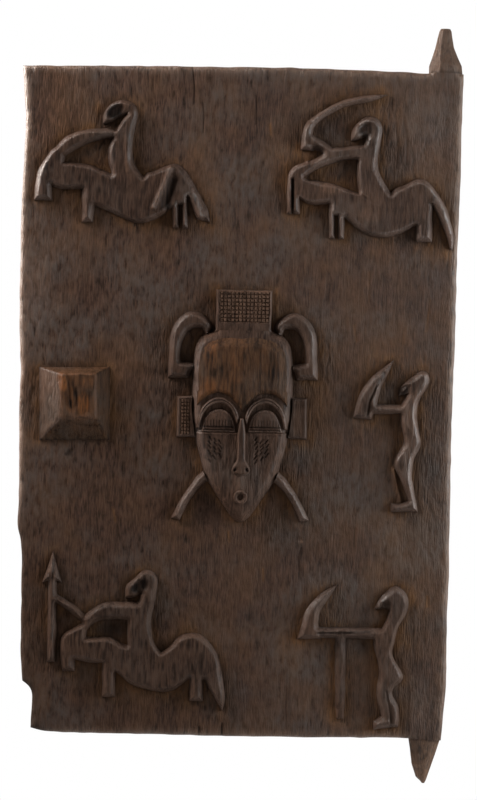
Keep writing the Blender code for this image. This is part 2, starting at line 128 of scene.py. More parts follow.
def turned(points: Array, angle: float) -> Array:
    """Places turned about the origin.

    Args:
        points: Places across and up.
        angle: How far, anticlockwise.

    Returns:
        The turned places.
    """
    across, up = points.T
    cos, sin = math.cos(angle), math.sin(angle)
    return np.stack([across * cos - up * sin, across * sin + up * cos], axis=1)


def on_leaf(points: Sequence[Place]) -> Array:
    """Pixels of the picture as millimetres across from the pivot line and up from its foot."""
    away = np.array(points, float) - PICTURE_PIVOT
    return turned(away * (1.0, -1.0), PICTURE_LEAN)


def in_space(points: Array, heights: Array) -> Array:
    """Metres in the frame for millimetres across and up the leaf and above its carved ground."""
    return np.stack([points[:, 0], -GROUND_DEPTH - heights, points[:, 1]], axis=1) * MM


def eased(share: Array) -> Array:
    """A smooth rise from 0 to 1 over the same span of its input."""
    held = np.clip(share, 0.0, 1.0)
    return held * held * (3.0 - 2.0 * held)


def at_least(least: float, share: Array) -> Array:
    """Shares that run from a least one to 1, instead of from 0."""
    return least + (1.0 - least) * share


@dataclass(frozen=True)
class Span:
    """A stretch of distance or height over which something comes in or fades."""

    start: float
    length: float

    def rise(self, values: Array) -> Array:
        """A smooth rise from 0 to 1 over the stretch."""
        return eased((values - self.start) / self.length)

    def fall(self, values: Array) -> Array:
        """A smooth fall from 1 to 0 over the stretch."""
        return 1.0 - self.rise(values)


@dataclass(frozen=True)
class Band:
    """Something that is strongest on a line and fades on both sides of it."""

    strength: float
    width: float

    def at(self, gap: Array) -> Array:
        """Its strength at a distance from the line."""
        return self.strength * np.exp(-((gap / self.width) ** 2))


@dataclass(frozen=True)
class Mound:
    """A soft oval rise or hollow."""

    centre: Place
    radii: Pair
    lift: float

    def at(self, across: Array, up: Array) -> Array:
        """Its height at each place."""
        aside, above = (across - self.centre[0]) / self.radii[0], (up - self.centre[1]) / self.radii[1]
        return self.lift * np.exp(-(aside**2) - above**2)


@dataclass(frozen=True)
class Swell:
    """Smooth hand-worked unevenness of one size, across and along the upright grain."""

    strength: float
    across: float
    along: float
    seed: int = 0
    base: float = 0.0

    def pattern(self, points: Array, seed: int = 0) -> Array:
        """The bare unevenness, from -1 to 1.

        Args:
            points: Places on the leaf.
            seed: Added to the swell's own.

        Returns:
            One value for each place.
        """
        table = np.random.default_rng(self.seed + seed).uniform(-1.0, 1.0, (NOISE_CELLS, NOISE_CELLS))
        cell = points / (self.across, self.along)
        low = np.floor(cell).astype(int)
        part = eased(cell - low)
        column, row = (low % NOISE_CELLS).T
        next_column, next_row = ((low + 1) % NOISE_CELLS).T
        near = table[column, row] * (1.0 - part[:, 0]) + table[next_column, row] * part[:, 0]
        far = table[column, next_row] * (1.0 - part[:, 0]) + table[next_column, next_row] * part[:, 0]
        return near * (1.0 - part[:, 1]) + far * part[:, 1]

    def at(self, points: Array, seed: int = 0) -> Array:
        """The swell's base and its unevenness at each place."""
        return self.base + self.strength * self.pattern(points, seed)

    def crests(self, points: Array, seed: int = 0, level: float = 0.0) -> Array:
        """What rises above a level, and 0 elsewhere."""
        return self.strength * np.clip(self.pattern(points, seed) - level, 0.0, 1.0)


@dataclass(frozen=True)
class CutSide:
    """A form's height and its side: a short upright foot, then a slope that eases into the top.

    The foot is a share of the height, and the power tells how early the slope eases, from 1 for a straight one.
    """

    relief: float
    width: float
    foot: float = 0.2
    power: float = 1.6
    slope_start: Span = Span(0.0, 0.8)
    slope_end: Span = Span(0.75, 0.5)

    def height(self, depth: Array, spread: float | Array = 1.0) -> Array:
        """Height at a depth in from the outline, with the slope's width times a spread."""
        share = np.clip(depth / (self.width * spread), 0.0, 1.0)
        return self.relief * (self.foot + (1.0 - self.foot) * (1.0 - (1.0 - share) ** self.power))

    def slope(self, depth: Array, spread: float | Array = 1.0) -> Array:
        """Share of a place that is slope and not outline or top, at a depth in from the outline."""
        return self.slope_start.rise(depth) * self.slope_end.fall(depth / (self.width * spread))


@dataclass
class Surface:
    """Height and colour shares at a set of places on the leaf."""

    height: Array
    wear: Array
    soot: Array
    gloss: Array | float = 0.0


@dataclass(frozen=True)
class Tones:
    """How strongly a form is worn, glossy and painted with a sheen where it is rubbed, and darkened with soot and
    painted shade along its outline.
    """

    wear: float
    gloss: float
    soot: float = 0.0
    reach: float = 1.0

    def line(self, depth: Array) -> Array:
        """Soot and painted shade at a depth in from the outline."""
        return self.soot * np.exp(-depth / self.reach)

    def surface(self, height: Array, rubbed: Array, soot: Array) -> Surface:
        """A surface that is worn, glossy and painted with a sheen where it is rubbed."""
        return Surface(height, self.wear * rubbed, soot, self.gloss * rubbed)


@dataclass(frozen=True)
class Stroke:
    """A cut or a ridge along a line, which may also be worn, darkened with soot and painted shade, or given gloss and
    a painted highlight.
    """

    path: Sequence[Place] | Array
    width: float
    lift: float = 0.0
    wear: float = 0.0
    soot: float = 0.0
    gloss: float = 0.0
    read_off: bool = True

    def line(self) -> Array:
        """The stroke's line on the leaf."""
        return on_leaf(self.path) if self.read_off else np.array(self.path, float)

    def share(self, points: Array) -> Array:
        """How strongly the stroke marks each place.

        Args:
            points: Places on the leaf.

        Returns:
            Shares from 0 to 1.
        """
        line = self.line()
        nearest = np.full(len(points), np.inf)
        for start, end in zip(line[:-1], line[1:]):
            run = end - start
            along = np.clip((points - start) @ run / max(run @ run, MERGE), 0.0, 1.0)
            gap = points - start - along[:, None] * run
            nearest = np.minimum(nearest, np.hypot(gap[:, 0], gap[:, 1]))
        return Band(1.0, self.width).at(nearest)


@dataclass(frozen=True)
class Blade:
    """How a line is worked: its width, its lift above the surface or below it, and its soot with painted shade in the
    cut.
    """

    width: float
    lift: float
    soot: float = 0.0


@dataclass(frozen=True)
class Patch:
    """An oval place that is hollowed, worn, darkened with soot and painted shade, or given gloss and a painted
    highlight.
    """

    centre: Place
    radii: Pair
    lift: float = 0.0
    wear: float = 0.0
    soot: float = 0.0
    turn: float = 0.0
    edge: float = 0.5
    gloss: float = 0.0

    def share(self, points: Array) -> Array:
        """How strongly the patch marks each place, from 0 to 1."""
        away = turned(points - on_leaf([self.centre])[0], -math.radians(self.turn)) / self.radii
        return Span(self.edge, 1.0 - self.edge).fall(np.hypot(away[:, 0], away[:, 1]))


Mark = Stroke | Patch
Line = tuple[Place, Place]
Rule = Callable[[Array], Surface]


def mark(surface: Surface, points: Array, marks: Sequence[Mark]) -> Surface:
    """Works strokes and patches into a surface.

    Args:
        surface: The surface before them.
        points: Its places.
        marks: What is worked in.

    Returns:
        The same surface, marked.
    """
    for each in marks:
        share = each.share(points)
        surface.height = surface.height + each.lift * share
        for label in SHARES:
            setattr(surface, label, getattr(surface, label) + getattr(each, label) * share)
    return surface


@dataclass(frozen=True)
class Grain:
    """A noise pattern in the wood: features to the metre, finer layers, and the part of its range that shows."""

    scale: Point
    detail: float
    low: float
    high: float


MOTTLE = Grain((190.0, 190.0, 90.0), 5.0, 0.34, 0.66)
BLOTCH = Grain((36.0, 36.0, 26.0), 4.0, 0.40, 0.66)
WEATHER = Grain((15.0, 40.0, 21.0), 3.0, 0.44, 0.62)


class NodeBoard:
    """A node tree that is built up a node at a time."""

    def __init__(self, tree: bpy.types.NodeTree) -> None:
        self.tree = tree

    def add(self, kind: str, **settings: object) -> bpy.types.Node:
        """Adds a node.

        Args:
            kind: Blender's name for the node.
            **settings: Its properties.

        Returns:
            The new node.
        """
        node = self.tree.nodes.new(kind)
        for name, value in settings.items():
            setattr(node, name, value)
        return node

    def join(self, source: Socket, target: Socket) -> None:
        """Links one socket to another."""
        self.tree.links.new(source, target)

    def stretched(self, value: Socket, taken: Pair = (0.0, 1.0), given: Pair = (0.0, 1.0)) -> Socket:
        """Stretches one range of a value to another.

        Args:
            value: The value.
            taken: The range that it comes in.
            given: The range that it is brought to.

        Returns:
            The stretched value.
        """
        node = self.add("ShaderNodeMapRange")
        for name, end in zip(("From Min", "From Max", "To Min", "To Max"), (*taken, *given)):
            node.inputs[name].default_value = end
        self.join(value, node.inputs["Value"])
        return node.outputs["Result"]

    def pattern(self, place: Socket, grain: Grain) -> Socket:
        """A noise pattern, stretched from 0 to 1.

        Args:
            place: Where it is read.
            grain: The pattern.

        Returns:
            Its value.
        """
        mapping = self.add("ShaderNodeMapping")
        mapping.inputs["Scale"].default_value = grain.scale
        self.join(place, mapping.inputs["Vector"])
        node = self.add("ShaderNodeTexNoise")
        node.inputs["Scale"].default_value = 1.0
        node.inputs["Detail"].default_value = grain.detail
        self.join(mapping.outputs["Vector"], node.inputs["Vector"])
        return self.stretched(node.outputs["Fac"], (grain.low, grain.high))

    def sum(self, *terms: tuple[Socket, float]) -> Socket:
        """Adds values, each times a number, and holds the result between 0 and 1.

        Args:
            *terms: A value and its number.

        Returns:
            The sum.
        """
        total: Socket | None = None
        for socket, factor in terms:
            node = self.add("ShaderNodeMath", operation="MULTIPLY_ADD", use_clamp=True)
            self.join(socket, node.inputs[0])
            node.inputs[1].default_value = factor
            node.inputs[2].default_value = 0.0
            if total is not None:
                self.join(total, node.inputs[2])
            total = node.outputs[0]
        return total

    def product(self, first: Socket, second: Socket) -> Socket:
        """Multiplies two values."""
        node = self.add("ShaderNodeMath", operation="MULTIPLY", use_clamp=True)
        self.join(first, node.inputs[0])
        self.join(second, node.inputs[1])
        return node.outputs[0]

    def blend(self, share: Socket, low: Socket | Colour, high: Colour) -> Socket:
        """Mixes two colours.

        Args:
            share: Share of the second colour.
            low: The first colour, or a socket that gives it.
            high: The second colour.

        Returns:
            The mixed colour.
        """
        node = self.add("ShaderNodeMix", data_type="RGBA")
        self.join(share, node.inputs[0])
        if isinstance(low, tuple):
            node.inputs[MIX_FIRST].default_value = (*low, 1.0)
        else:
            self.join(low, node.inputs[MIX_FIRST])
        node.inputs[MIX_SECOND].default_value = (*high, 1.0)
        return node.outputs[MIX_RESULT]

    def attribute(self, name: str) -> Socket:
        """A value that is kept on the mesh."""
        return self.add("ShaderNodeAttribute", attribute_name=name).outputs["Fac"]

    def bump(self, height: Socket, depth: float, strength: float, under: Socket | None = None) -> Socket:
        """Raises a pattern out of the surface.

        Args:
            height: The pattern.
            depth: Its height in metres.
            strength: How far it shows.
            under: A bump that it lies on.

        Returns:
            The bent normal.
        """
        node = self.add("ShaderNodeBump")
        node.inputs["Strength"].default_value = strength
        node.inputs["Distance"].default_value = depth
        self.join(height, node.inputs["Height"])
        if under is not None:
            self.join(under, node.inputs["Normal"])
        return node.outputs["Normal"]

    def mixed_shader(self, share: Socket, first: Socket, second: Socket) -> Socket:
        """Mixes two shaders.

        Args:
            share: Share of the second shader.
            first: The first shader.
            second: The second shader.

        Returns:
            The mixed shader.
        """
        node = self.add("ShaderNodeMixShader")
        for source, target in zip((share, first, second), node.inputs):
            self.join(source, target)
        return node.outputs["Shader"]


@dataclass(frozen=True)
class WoodFinish:
    """Old hewn wood with upright grain, darkened by smoke and painted shade, rubbed by hands, and given a painted
    sheen where it is glossy.
    """

    name: str
    slot: str
    shade: Colour
    fibre: Colour
    bloom: Colour
    worn: Colour
    soot: Colour
    painted_sheen_colour: Colour
    roughness: Pair
    specular: float
    polish: float
    tooling: float
    grain: Grain

    def material(self) -> bpy.types.Material:
        """The finish as a material, made once.

        Returns:
            The material.
        """
        found = bpy.data.materials.get(self.name)
        if found is not None:
            return found
        material = bpy.data.materials.new(self.name)
        material.use_nodes = True
        board = NodeBoard(material.node_tree)
        shader = material.node_tree.nodes["Principled BSDF"]
        place = board.add("ShaderNodeTexCoord").outputs["Object"]
        fibre, mottle, blotch, weather = (
            board.pattern(place, grain) for grain in (self.grain, MOTTLE, BLOTCH, WEATHER)
        )
        tone = board.sum((fibre, FIBRE_TONE), (mottle, MOTTLE_TONE))
        patina = board.blend(tone, self.shade, self.fibre)
        parts = board.add("ShaderNodeSeparateXYZ")
        board.join(place, parts.inputs[0])
        # Weathered patches, and a greyer and lighter tone towards the hinge side.
        hinge_side = board.stretched(parts.outputs["X"], (LATCH_SIDE, HINGE_SIDE))
        bloomed = board.sum((board.product(weather, mottle), 1.0), (hinge_side, HINGE_GREYING))
        aged = board.blend(bloomed, patina, self.bloom)
        broken = board.sum(*zip((mottle, fibre, blotch), BREAKING))
        wear, soot, gloss = (board.attribute(label) for label in SHARES)
        rubbed = board.sum((board.product(wear, broken), RUBBED_WEAR), (blotch, RUBBED_BLOTCH))
        warm = board.blend(rubbed, aged, self.worn)
        # Gloss also blends a paler sheen colour into the base colour, a painted highlight beside the coat's gloss.
        painted_sheen = board.blend(board.sum((board.product(gloss, broken), PAINTED_SHEEN)), warm, self.painted_sheen_colour)
        normal = board.bump(mottle, HEWN_BUMP[0] * self.tooling, HEWN_BUMP[1])
        normal = board.bump(fibre, GRAIN_BUMP[0] * self.tooling, GRAIN_BUMP[1], normal)
        # The soot share darkens the base colour with soot and painted shade.
        for name, source in {
            "Base Color": board.blend(board.sum((soot, 1.0)), painted_sheen, self.soot),
            "Roughness": board.stretched(tone, given=self.roughness),
            "Coat Weight": board.sum((gloss, self.polish)),
            "Normal": normal,
            "Coat Normal": normal,
        }.items():
            board.join(source, shader.inputs[name])
        shader.inputs["Specular IOR Level"].default_value = self.specular
        shader.inputs["Coat Roughness"].default_value = COAT_ROUGHNESS
        return material


class Finish(Enum):
    """The finishes of the leaf."""

    PLANK = WoodFinish(
        "smoked_plank_wood", "dark_patinated_wood",
        shade=(0.0115, 0.0062, 0.004), fibre=(0.078, 0.0416, 0.0286), bloom=(0.0595, 0.0455, 0.0392),
        worn=(0.100, 0.050, 0.024), soot=(0.009, 0.0055, 0.0042), painted_sheen_colour=(0.160, 0.110, 0.088),
        roughness=(0.58, 0.74), specular=0.07, polish=0.9, tooling=1.0,
        grain=Grain((760.0, 760.0, 95.0), 4.0, 0.37, 0.63),
    )
    CARVING = WoodFinish(
        "handled_carving_wood", "dark_patinated_wood",
        shade=(0.0145, 0.008, 0.0055), fibre=(0.067, 0.0375, 0.0265), bloom=(0.055, 0.039, 0.032),
        worn=(0.110, 0.062, 0.041), soot=(0.008, 0.0048, 0.0036), painted_sheen_colour=(0.096, 0.062, 0.050),
        roughness=(0.52, 0.66), specular=0.05, polish=1.0, tooling=0.7,
        grain=Grain((640.0, 640.0, 85.0), 4.0, 0.40, 0.60),
    )
    WORN = WoodFinish(
        "rubbed_wood", "worn_wood",
        shade=(0.016, 0.009, 0.0055), fibre=(0.060, 0.032, 0.018), bloom=(0.048, 0.033, 0.025),
        worn=(0.130, 0.049, 0.016), soot=(0.008, 0.005, 0.0038), painted_sheen_colour=(0.115, 0.082, 0.070),
        roughness=(0.52, 0.66), specular=0.05, polish=1.0, tooling=0.8,
        grain=Grain((640.0, 640.0, 85.0), 4.0, 0.40, 0.60),
    )


class Side(Enum):
    """The two sides of the mask, seen from the front."""

    LEFT = "left"
    RIGHT = "right"

    @property
    def sign(self) -> float:
        """-1 on the left and 1 on the right."""
        return -1.0 if self is Side.LEFT else 1.0


def foot_outline(node: bpy.types.Object) -> Array:
    """The outline of a solid's flat foot.

    Args:
        node: A solid of the frame.

    Returns:
        Millimetres across and up, anticlockwise seen from the front.
    """
    shape = bmesh.new()
    shape.from_mesh(node.data)
    bmesh.ops.remove_doubles(shape, verts=shape.verts, dist=MERGE)
    deepest = max(vert.co.y for vert in shape.verts)
    flat = [face for face in shape.faces if all(deepest - vert.co.y < FLAT for vert in face.verts)]
    feet = set(flat)
    following = {}
    for face in flat:
        for corner in face.loops:
            if sum(other in feet for other in corner.edge.link_faces) == 1:
                following[corner.vert] = corner.link_loop_next.vert
    loops = []
    while following:
        vert, loop = next(iter(following)), []
        while vert in following:
            loop.append((vert.co.x / MM, vert.co.z / MM))
            vert = following.pop(vert)
        loops.append(np.array(loop[::-1]))
    shape.free()
    return max(loops, key=lambda loop: float(np.ptp(loop, axis=0).sum()))


def outward(loop: Array) -> Array:
    """Directions out of an anticlockwise outline at each of its points."""
    run = np.roll(loop, -1, axis=0) - np.roll(loop, 1, axis=0)
    run /= np.maximum(np.hypot(run[:, 0], run[:, 1]), MERGE)[:, None]
    return np.stack([run[:, 1], -run[:, 0]], axis=1)


def divided(loop: Array, step: float) -> tuple[Array, Array]:
    """An outline with its long runs divided.

    Args:
        loop: The outline.
        step: Wanted distance between points.

    Returns:
        The points, and whether each is a sharp corner.
    """
    before = loop - np.roll(loop, 1, axis=0)
    after = np.roll(loop, -1, axis=0) - loop
    crossing = before[:, 0] * after[:, 1] - before[:, 1] * after[:, 0]
    turn = np.abs(np.arctan2(crossing, (before * after).sum(axis=1)))
    points, corners = [], []
    for place, run, bend in zip(loop, after, turn):
        count = max(1, round(float(np.hypot(*run)) / step))
        for part in range(count):
            points.append(place + run * part / count)
            corners.append(part == 0 and bend > CORNER)
    return np.array(points), np.array(corners)


def shrunk(loop: Array, inset: float) -> Array:
    """An outline drawn in towards its middle.

    Args:
        loop: The outline.
        inset: How far its outermost points come in.

    Returns:
        The smaller outline, point for point.
    """
    low, high = loop.min(axis=0), loop.max(axis=0)
    middle = (low + high) / 2
    return middle + (loop - middle) * (1.0 - 2.0 * inset / (high - low))


def nearest_tree(points: Array) -> Tree:
    """A search tree over places on the leaf."""
    tree = Tree(len(points))
    for index, (across, up) in enumerate(points):
        tree.insert((across, up, 0.0), index)
    tree.balance()
    return tree


def distance(tree: Tree, points: Array) -> Array:
    """Distance from each place to the nearest in a search tree."""
    return np.array([tree.find((across, up, 0.0))[2] for across, up in points])


def within(loop: Array, points: Array) -> Array:
    """Whether each place lies inside an outline.

    Args:
        loop: The outline.
        points: The places.

    Returns:
        One truth value for each place.
    """
    found = np.zeros(len(points), bool)
    for start, end in zip(loop, np.roll(loop, -1, axis=0)):
        if start[1] == end[1]:
            continue
        spans = (points[:, 1] < start[1]) != (points[:, 1] < end[1])
        meets = start[0] + (points[:, 1] - start[1]) * (end[0] - start[0]) / (end[1] - start[1])
        found ^= spans & (points[:, 0] < meets)
    return found


def close_tree(*loops: Array, step: float = CLOSE_STEP) -> Tree:
    """A search tree over close points along outlines."""
    return nearest_tree(np.vstack([divided(each, step)[0] for each in loops]))


def without_slivers(loop: Array, over: Sequence[Array]) -> Array:
    """An outline without the thin tips that are left beside what is carved over it.

    Args:
        loop: The outline.
        over: Outlines that are cut out of it.

    Returns:
        The outline's other points.
    """
    neighbours = close_tree(*over)
    points = list(loop)
    spot = 0
    while spot < len(points):
        here = points[spot]
        before, after = here - points[spot - 1], points[(spot + 1) % len(points)] - here
        turn = math.atan2(before[0] * after[1] - before[1] * after[0], float(before @ after))
        if turn > SLIVER_TURN and neighbours.find((*here, 0.0))[2] < SLIVER_REACH:
            points.pop(spot)
            spot = max(0, spot - 2)
        else:
            spot += 1
    return np.array(points)


@dataclass
class Outline:
    """A hand-cut outline and where it meets its neighbours."""

    points: Array
    shared: Array

    @classmethod
    def cut(cls, loop: Array, step: float, waver: Swell, seed: int, neighbours: Sequence[Array] = ()) -> Outline:
        """Divides an outline, eases its curves and gives it a hand's waver.

        Args:
            loop: The plain outline.
            step: Distance between points.
            waver: Unevenness of the cut.
            seed: Which unevenness.
            neighbours: Outlines that this one may meet.

        Returns:
            The outline.
        """
        points, corners = divided(loop, step)
        shared = np.zeros(len(points), bool)
        if len(neighbours):
            shared = distance(close_tree(*neighbours), points) < MEETING
        free = ~(shared | corners)[:, None]
        for _ in range(EASING_ROUNDS):
            middle = (np.roll(points, 1, axis=0) + np.roll(points, -1, axis=0)) / 2
            points = np.where(free, (points + middle) / 2, points)
        shift = outward(points) * np.where(shared, OVERLAP, waver.at(points, seed))[:, None]
        for _ in range(SHIFT_ROUNDS):
            shift = (np.roll(shift, 1, axis=0) + 2.0 * shift + np.roll(shift, -1, axis=0)) / 4
        return cls(points + shift, shared)

    def open_line(self) -> Array:
        """Close points along the stretches that meet no neighbour."""
        free = ~(self.shared & np.roll(self.shared, -1))
        start, run = self.points[free], (np.roll(self.points, -1, axis=0) - self.points)[free]
        return np.vstack([start + run * part / LINE_PARTS for part in range(LINE_PARTS)])

    def filling(self, spacing: float, rows: Sequence[float], seed: int) -> Array:
        """Places inside the outline for a worked surface.

        Args:
            spacing: Distance between places away from the rim.
            rows: Distances in from the outline of the rows that follow it.
            seed: Which scatter.

        Returns:
            The places.
        """
        tree = close_tree(self.points)
        found = []
        inward = -outward(self.points)
        for row in rows:
            ring = self.points + inward * row
            ring = ring[within(self.points, ring)]
            found.append(ring[distance(tree, ring) > row * ROW_KEPT])
        low, high = self.points.min(axis=0), self.points.max(axis=0)
        across = np.arange(low[0], high[0], spacing)
        up = np.arange(low[1], high[1], spacing * ROW_RISE)
        grid = np.stack(np.meshgrid(across, up), axis=-1)
        grid[1::2, :, 0] += spacing / 2
        grid = grid.reshape(-1, 2)
        grid = grid + np.random.default_rng(seed).uniform(-SCATTER, SCATTER, grid.shape) * spacing
        grid = grid[within(self.points, grid)]
        found.append(grid[distance(tree, grid) > max(rows) + spacing * RIM_GAP])
        return np.vstack(found)


def triangles(loop: Array, inner: Array) -> Array:
    """Fills an outline with triangles.

    Args:
        loop: The outline.
        inner: Places inside it.

    Returns:
        Three indices a row into the outline's points and then the inner ones, anticlockwise.
    """
    count = len(loop)
    rim = [(index, (index + 1) % count) for index in range(count)]
    points = np.vstack([loop, inner]).tolist()
    _, _, faces, sources, _, _ = delaunay_2d_cdt(points, rim, [], 1, MERGE, True)
    found = [[sources[corner][0] for corner in face] for face in faces]
    sides = [list(zip(face, face[1:] + face[:1])) for face in found]
    holders = {side: index for index, each in enumerate(sides) for side in each}
    blocked, inside = set(rim), set()
    waiting = [holders[side] for side in rim]
    while waiting:
        index = waiting.pop()
        if index not in inside:
            inside.add(index)
            waiting += [holders[side[::-1]] for side in sides[index] if side not in blocked]
    return np.array([found[index] for index in sorted(inside)])


def keep_shares(mesh: bpy.types.Mesh, **shares: Array) -> None:
    """Keeps colour shares on a mesh, held between 0 and 1.

    Args:
        mesh: The mesh.
        **shares: A value for each of its points, by the share's name.
    """
    for label, values in shares.items():
        attribute = mesh.attributes.new(label, "FLOAT", "POINT")
        attribute.data.foreach_set("value", np.clip(values, 0.0, 1.0).astype(np.float32))


def smoothed(mesh: bpy.types.Mesh, crease: float = CREASE) -> None:
    """Shades a mesh smooth, except at its creases."""
    mesh.shade_smooth()
    mesh.set_sharp_from_angle(angle=crease)


def closed_mesh(
    name: str, loop: Array, inner: Array, surface: Surface, walls: Sequence[Pair],
    back: Array | None = None, behind: Surface | None = None,
) -> bpy.types.Mesh:
    """A closed mesh from a worked front, its walls and a back.

    Args:
        name: The mesh's name.
        loop: The outline.
        inner: Places inside it.
        surface: The worked front, over the outline and then the inner places.
        walls: Inset and height of each further loop, from the front to the back.
        back: Places inside the back, where it is worked.
        behind: The worked back, over those places.

    Returns:
        The mesh, with its colour shares as attributes.
    """
    count = len(loop)
    back = np.empty((0, 2)) if back is None else back
    front = np.vstack([loop, inner])
    coords = [in_space(front, surface.height)]
    faces = triangles(loop, inner).tolist()
    total = len(front)
    ring = np.arange(count)
    edge = loop
    for inset, height in walls:
        edge = shrunk(loop, inset)
        coords.append(in_space(edge, np.full(count, height)))
        lower = np.arange(total, total + count)
        faces += np.stack([ring, lower, np.roll(lower, -1), np.roll(ring, -1)], axis=1).tolist()
        ring = lower
        total += count
    index = np.concatenate([ring, np.arange(total, total + len(back))])
    faces += index[triangles(edge, back)[:, ::-1]].tolist()
    if behind is not None:
        coords.append(in_space(back, behind.height))
    places = np.vstack(coords)
    mesh = bpy.data.meshes.new(name)
    mesh.from_pydata(places.tolist(), [], faces)
    for label in SHARES:
        shares = np.zeros(len(places))
        shares[: len(front)] = getattr(surface, label)
        if behind is not None:
            shares[-len(back):] = getattr(behind, label)
        keep_shares(mesh, **{label: shares})
    smoothed(mesh)
    return mesh


def in_scene(name: str, data: bpy.types.ID) -> bpy.types.Object:
    """Puts a new object into the scene."""
    made = bpy.data.objects.new(name, data)
    bpy.context.scene.collection.objects.link(made)
    return made


def set_piece(name: str, mesh: bpy.types.Mesh, finish: Finish, *nodes: str) -> bpy.types.Object:
    """Sets a finished piece on the leaf.

    Args:
        name: The piece's name.
        mesh: Its mesh, in place.
        finish: Its finish.
        *nodes: Solids that it stands for.

    Returns:
        The piece.
    """
    piece = in_scene(name, mesh)
    mesh.materials.clear()
    mesh.materials.append(finish.value.material())
    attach(piece, BODY)
    if nodes:
        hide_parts(*nodes)
    LOG.info("%s: %d faces", name, len(mesh.polygons))
    return piece


@dataclass(frozen=True)
class Form:
    """How one form is carved: its surface, how closely it is worked, its foot's height and its finish."""

    rule: Rule
    spacing: float
    rows: tuple[float, ...] = BROAD_ROWS
    foot: float = HIDDEN_FOOT
    finish: Finish = Finish.CARVING

    def carve(self, node: str, outline: Outline, seed: int) -> bpy.types.Object:
        """Carves the form over its outline.

        Args:
            node: The solid that it stands for.
            outline: Its outline.
            seed: Which scatter of places.

        Returns:
            The piece.
        """
        name = f"{node}_carving"
        inner = outline.filling(self.spacing, self.rows, seed)
        surface = self.rule(np.vstack([outline.points, inner]))
        mesh = closed_mesh(name, outline.points, inner, surface, [(0.0, self.foot)])
        return set_piece(name, mesh, self.finish, node)


@dataclass
class FigureGroup:
    """Figures that were carved together, with flat tops, sloped sides and their own cuts."""

    name: str
    kinds: tuple[str, ...]
    seed: int
    marks: tuple[Mark, ...] = ()
    polish: float = 1.0
    side: CutSide = CutSide(9.0, 4.8)
    side_spread: Swell = Swell(0.32, 17.0, 17.0, 5, 1.0)
    top_swell: Swell = Swell(0.35, 14.0, 26.0)
    top_from: float = 3.0
    tool_marks: Swell = Swell(0.26, 2.4, 16.0, 7)
    rubbing: Swell = Swell(0.45, 9.0, 14.0, 3, 0.55)
    streaks: Swell = Swell(0.6, 1.6, 11.0, 9)
    tones: Tones = Tones(0.12, 0.8, 0.2, 0.6)
    cleaned_slope: float = 0.5
    seam: Band = Band(0.12, 1.1)
    step: float = 0.9
    waver: Swell = Swell(0.3, 9.0, 9.0)
    spacing: float = 0.95
    rows: tuple[float, ...] = (0.5, 1.2, 2.0, 2.9, 3.9, 4.9)
    outlines: dict[str, Outline] = field(default_factory=dict)
    rim: Tree | None = None
    seams: Tree | None = None

    def trace(self, nodes: Nodes) -> None:
        """Reads the outlines of the group's solids.

        Args:
            nodes: The frame's solids.
        """
        loops = {kind: foot_outline(nodes[f"{self.name}_{kind}"]) for kind in self.kinds}
        if "horse" in loops:
            loops["horse"] = without_slivers(loops["horse"], [loops[kind] for kind in self.kinds if kind != "horse"])
        for count, kind in enumerate(self.kinds):
            others = [loops[other] for other in self.kinds if other != kind]
            self.outlines[kind] = Outline.cut(loops[kind], self.step, self.waver, self.seed + count, others)
        self.rim = nearest_tree(np.vstack([each.open_line() for each in self.outlines.values()]))
        seams = np.vstack([each.points[each.shared] for each in self.outlines.values()])
        self.seams = nearest_tree(seams) if len(seams) else None

    def surface(self, points: Array) -> Surface:
        """The carved surface at a set of places.

        Args:
            points: Places on the leaf.

        Returns:
            Heights and colour shares.
        """
        depth = distance(self.rim, points)
        spread = self.side_spread.at(points, self.seed)
        height = self.side.height(depth, spread)
        height += self.top_swell.at(points, self.seed) * np.clip(depth / self.top_from, 0.0, 1.0)
        height += self.tool_marks.at(points, self.seed)
        if self.seams is not None:
            height -= self.seam.at(distance(self.seams, points))
        slope = self.side.slope(depth, spread)
        rubbed = slope * self.rubbing.at(points, self.seed)
        # Soot and painted shade along the outline, less on the slopes.
        soot = self.tones.line(depth) * (1.0 - self.cleaned_slope * slope)
        soot += self.streaks.crests(points, self.seed) * (1.0 - slope)
        made = self.tones.surface(height, rubbed, soot)
        made.gloss *= self.polish
        return mark(made, points, self.marks)

    def build(self) -> None:
        """Carves every figure of the group."""
        form = Form(self.surface, self.spacing, self.rows)
        for count, (kind, outline) in enumerate(self.outlines.items()):
            form.carve(f"{self.name}_{kind}", outline, self.seed + count)


